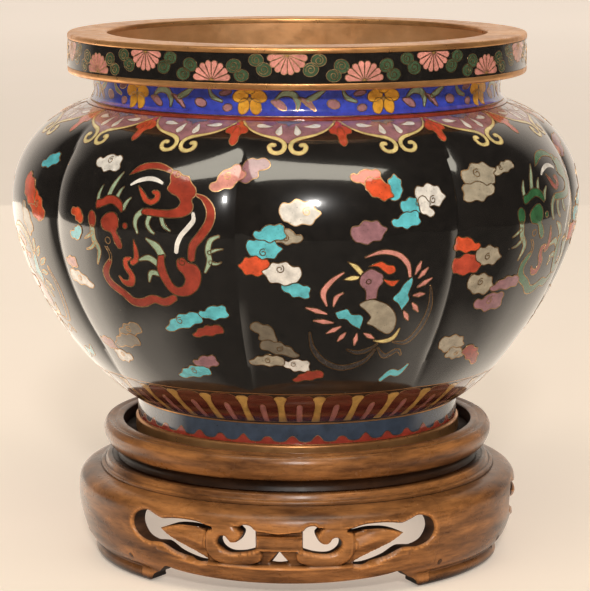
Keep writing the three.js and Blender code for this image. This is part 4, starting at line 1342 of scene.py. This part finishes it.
def make_stand_rings():
    """The turned parts of the stand, from the top ring down to the drum's shoulder."""
    turned_piece("turned_top", [
        (62, 41.4), (71.8, 41.4, 1), (73.4, 43.4, 1.2), (74.8, 46.8, 1.6), (74.4, 49.6, 1.6), (73, 51, 1),
        (71.5, 50.3, 0.5), (70.6, 50.2, 0.4), (69.6, 51.3, 0.8), (SEAT_RADIUS, 51.1, 0.7),
        (SEAT_RADIUS, 42.5), (62, 42.5),
    ], WOOD, "stand", "stand_top_ring")
    board_edge = SEAT_RADIUS - 0.2
    # painted shade: the seat board under the vase is in the darker copy of the wood
    turned_piece("turned_seat", [
        (AXIS, 42.8), (board_edge, 42.8, 0.3), (board_edge, 46.5, 0.4), (AXIS, 46.5),
    ], SHADED_WOOD, "stand", "seat_board")
    # painted shade: the waist is in the dark wood, which also stands for the shade under the top ring
    turned_piece("turned_waist", [
        (63, 37.1), (69.6, 37.1, 0.2), (68.6, 39.2, 1.2), (70.2, 41.3, 0.2), (63, 41.3),
    ], DARK_AND_SHADED_WOOD, "stand", "waist_ring")
    turned_piece("turned_step", [
        (62, DRUM_TOP + 0.05), (75.9, DRUM_TOP + 0.05, 0.1), (75.7, 34.6, 0.4), (74.6, 35, 0.2),
        (74.3, 34.8, 0.1), (73.9, 35.5, 0.3), (73.4, 36.9, 0.5), (71.6, 37.3, 0.3), (71.3, 37, 0.1),
        (62, 37.05),
    ], WOOD, "stand", "shoulder_ring")


PEG_HEIGHT = 8.8
PEG_RADIUS = 1.05
PEG_SIDES = 20
PEG_DEPTH = 5
PEG_ANGLE = math.radians(45)    # from an apron's middle


def make_pegs():
    """Round pegs that end flush in the drum, one on each side of each leg."""
    turn = np.linspace(0, TURN, PEG_SIDES, endpoint=False)
    v = np.interp(PEG_HEIGHT + PEG_RADIUS * np.sin(turn), DRUM.height, DRUM.v)
    middle = np.interp(PEG_HEIGHT, DRUM.height, DRUM.v)
    faces = grid_faces(3, PEG_SIDES, False, True)
    back_centre = 3 * PEG_SIDES + 1
    for a in range(PEG_SIDES):
        b = (a + 1) % PEG_SIDES
        faces += [(2 * PEG_SIDES + a, 2 * PEG_SIDES + b, back_centre - 1), (b, a, back_centre)]
    for i in range(2 * STAND_APRONS):
        leg, side = i // 2, 1 if i % 2 else -1
        azimuth = FIRST_APRON + (leg + 0.5) * APRON_PITCH + side * (APRON_PITCH / 2 - PEG_ANGLE)
        at = azimuth * FRETWORK_RADIUS
        # rings round the peg's back, at the drum's surface and on the slight dome of its end
        rings = [DRUM.place(at + PEG_RADIUS * np.cos(turn), v, lift) for lift in (-PEG_DEPTH, 0, 0.1)]
        centres = [DRUM.place([at], [middle], 0.12), DRUM.place([at], [v.mean()], -PEG_DEPTH)]
        make_piece(f"peg_{i + 1}", np.vstack(rings + centres), faces, DARK_AND_SHADED_WOOD, "stand", f"leg_peg_{i + 1}")


# ------------------------------------------------------------------ stage, light and camera

def make_room():
    """The room round the table: pale behind the vase, dark on the camera's side."""
    world = bpy.data.worlds.new("room")
    bpy.context.scene.world = world
    room = Look(world, "Background")
    tone = room.ramp(room.axes("Generated")["Y"], (0.5, (0.035, 0.03, 0.026)), (0.85, (1, 0.87, 0.74)))
    room.shade({"Color": tone, "Strength": 1})


def area_light(name, centre, target, width, height, power, colour, mirrored_in_gloss=True):
    data = bpy.data.lights.new(name, "AREA")
    data.shape = "RECTANGLE"
    data.size = width
    data.size_y = height
    data.energy = power
    data.color = colour
    lamp = add_object(name, data)
    lamp.location = centre
    x, y, z = np.array(target, float) - np.array(centre, float)
    lamp.rotation_euler = (math.atan2(math.hypot(x, y), -z), 0, math.atan2(y, x) - math.pi / 2)
    lamp.visible_glossy = mirrored_in_gloss
    lamp.visible_camera = False


def stage_piece(name, points, material):
    mesh = bpy.data.meshes.new(name)
    mesh.from_pydata(points, [], [tuple(range(len(points)))])
    mesh.materials.append(material)
    piece = add_object(name, mesh)
    return piece


def make_floor():
    """The pale floor that the camera sees; it glows, a painted light that grows stronger towards its far
    side.
    """
    look = Look(bpy.data.materials.new("glowing_paper"))
    tint = look.ramp(look.noise(8), (0.3, (0.76, 0.66, 0.56)), (0.7, (0.78, 0.67, 0.57)))
    # painted light: the floor's own glow, faint near the camera and strong at its far side
    far = look.span(look.axes()["Y"], 0, 1, -1.7, 3)
    look.shade({
        "Base Color": tint,
        "Emission Color": tint,
        "Emission Strength": look.ramp(far, (0, 0.1), (0.4, 0.4), (1, 0.87)),
        "Roughness": 0.7,
        "Specular IOR Level": 0.1,
    })
    rim = [(8 * math.cos(a), 8 * math.sin(a), -0.0006) for a in np.linspace(0, TURN, 96, endpoint=False)]
    stage_piece("floor", rim, look.owner).visible_glossy = False


def make_table():
    """The table top as the enamel mirrors it: a glowing sheet seen only in reflections, which paints a
    reflection that is pale behind the stand, dim before it and at the right.
    """
    look = Look(bpy.data.materials.new("table_glow"))
    place = look.place()
    axes = look.axes()

    def near(centre, *stops):
        apart = look.add("VectorMath", {0: place, 1: centre}, operation="DISTANCE")["Value"]
        return look.ramp(apart, *stops)

    behind = look.span(axes["Y"], 0.08, 1.3, -0.07, 0.03)
    # painted reflection: a ring of glow round the stand, dimmed just in front of it
    glow_round_stand = look.combine("MULTIPLY", near((0, 0, 0), (0.15, 0.6), (0.2, 0)),
                         near((0, -0.17, 0), (0.095, 0.06), (0.15, 1)))
    sideways = look.span(axes["X"], 2, 0.6, -0.6, 0.3)
    # painted reflection: the sheet glows, stronger to the left and weaker to the right
    look.shade({
        "Emission Strength": look.combine("MULTIPLY", look.combine("MAXIMUM", behind, glow_round_stand), sideways),
        "Emission Color": rgba((1, 0.87, 0.72)),
        "Base Color": rgba(0.02),
        "Specular IOR Level": 0,
    })
    corners = [(x, y, -0.0002) for x, y in ((-0.9, -0.7), (0.9, -0.7), (0.9, 1), (-0.9, 1))]
    table = stage_piece("table", corners, look.owner)
    table.visible_camera = False
    table.visible_diffuse = False
    table.visible_shadow = False


def make_lights():
    """A long ceiling panel, a small lamp, a soft fill and a faint glow under the stand."""
    above = (-0.15, -1.35, 2.4)
    area_light("ceiling_panel", above, (*above[:2], 0), 1, 3.2, 45, (1, 0.93, 0.78))
    area_light("lamp", (0.05, -2.9, 1.42), (0, 0, 0.13), 0.24, 0.24, 46, (1, 0.97, 0.93))
    area_light("fill", (0, -2.2, 2), (0, 0, 0.1), 2.4, 1.6, 16, (1, 0.95, 0.88), False)
    area_light("under_glow", (0, 0, 0.027), (0, 0, 0), 0.09, 0.09, 0.02, (1, 0.88, 0.78), False)


def make_camera():
    data = bpy.data.cameras.new("camera")
    data.sensor_width = 36
    data.lens = 165.6
    camera = add_object("camera", data)
    camera.location = (-0.0008, -1.0321, 0.2706)
    camera.rotation_euler = (math.radians(90 - 9.507), 0, 0)
    bpy.context.scene.camera = camera
    bpy.context.scene.view_settings.view_transform = "Standard"


make_camera()
make_vase_body()
make_rim_binding()
make_neck_lines()
make_foot_rim()
make_figures()
make_lappets()
make_rim_band()
make_neck_band()
make_petal_border()
make_foot_teeth()
make_counter_enamel()
make_copper_body()
make_drum()
make_stand_rings()
make_pegs()
make_floor()
make_table()
make_room()
make_lights()
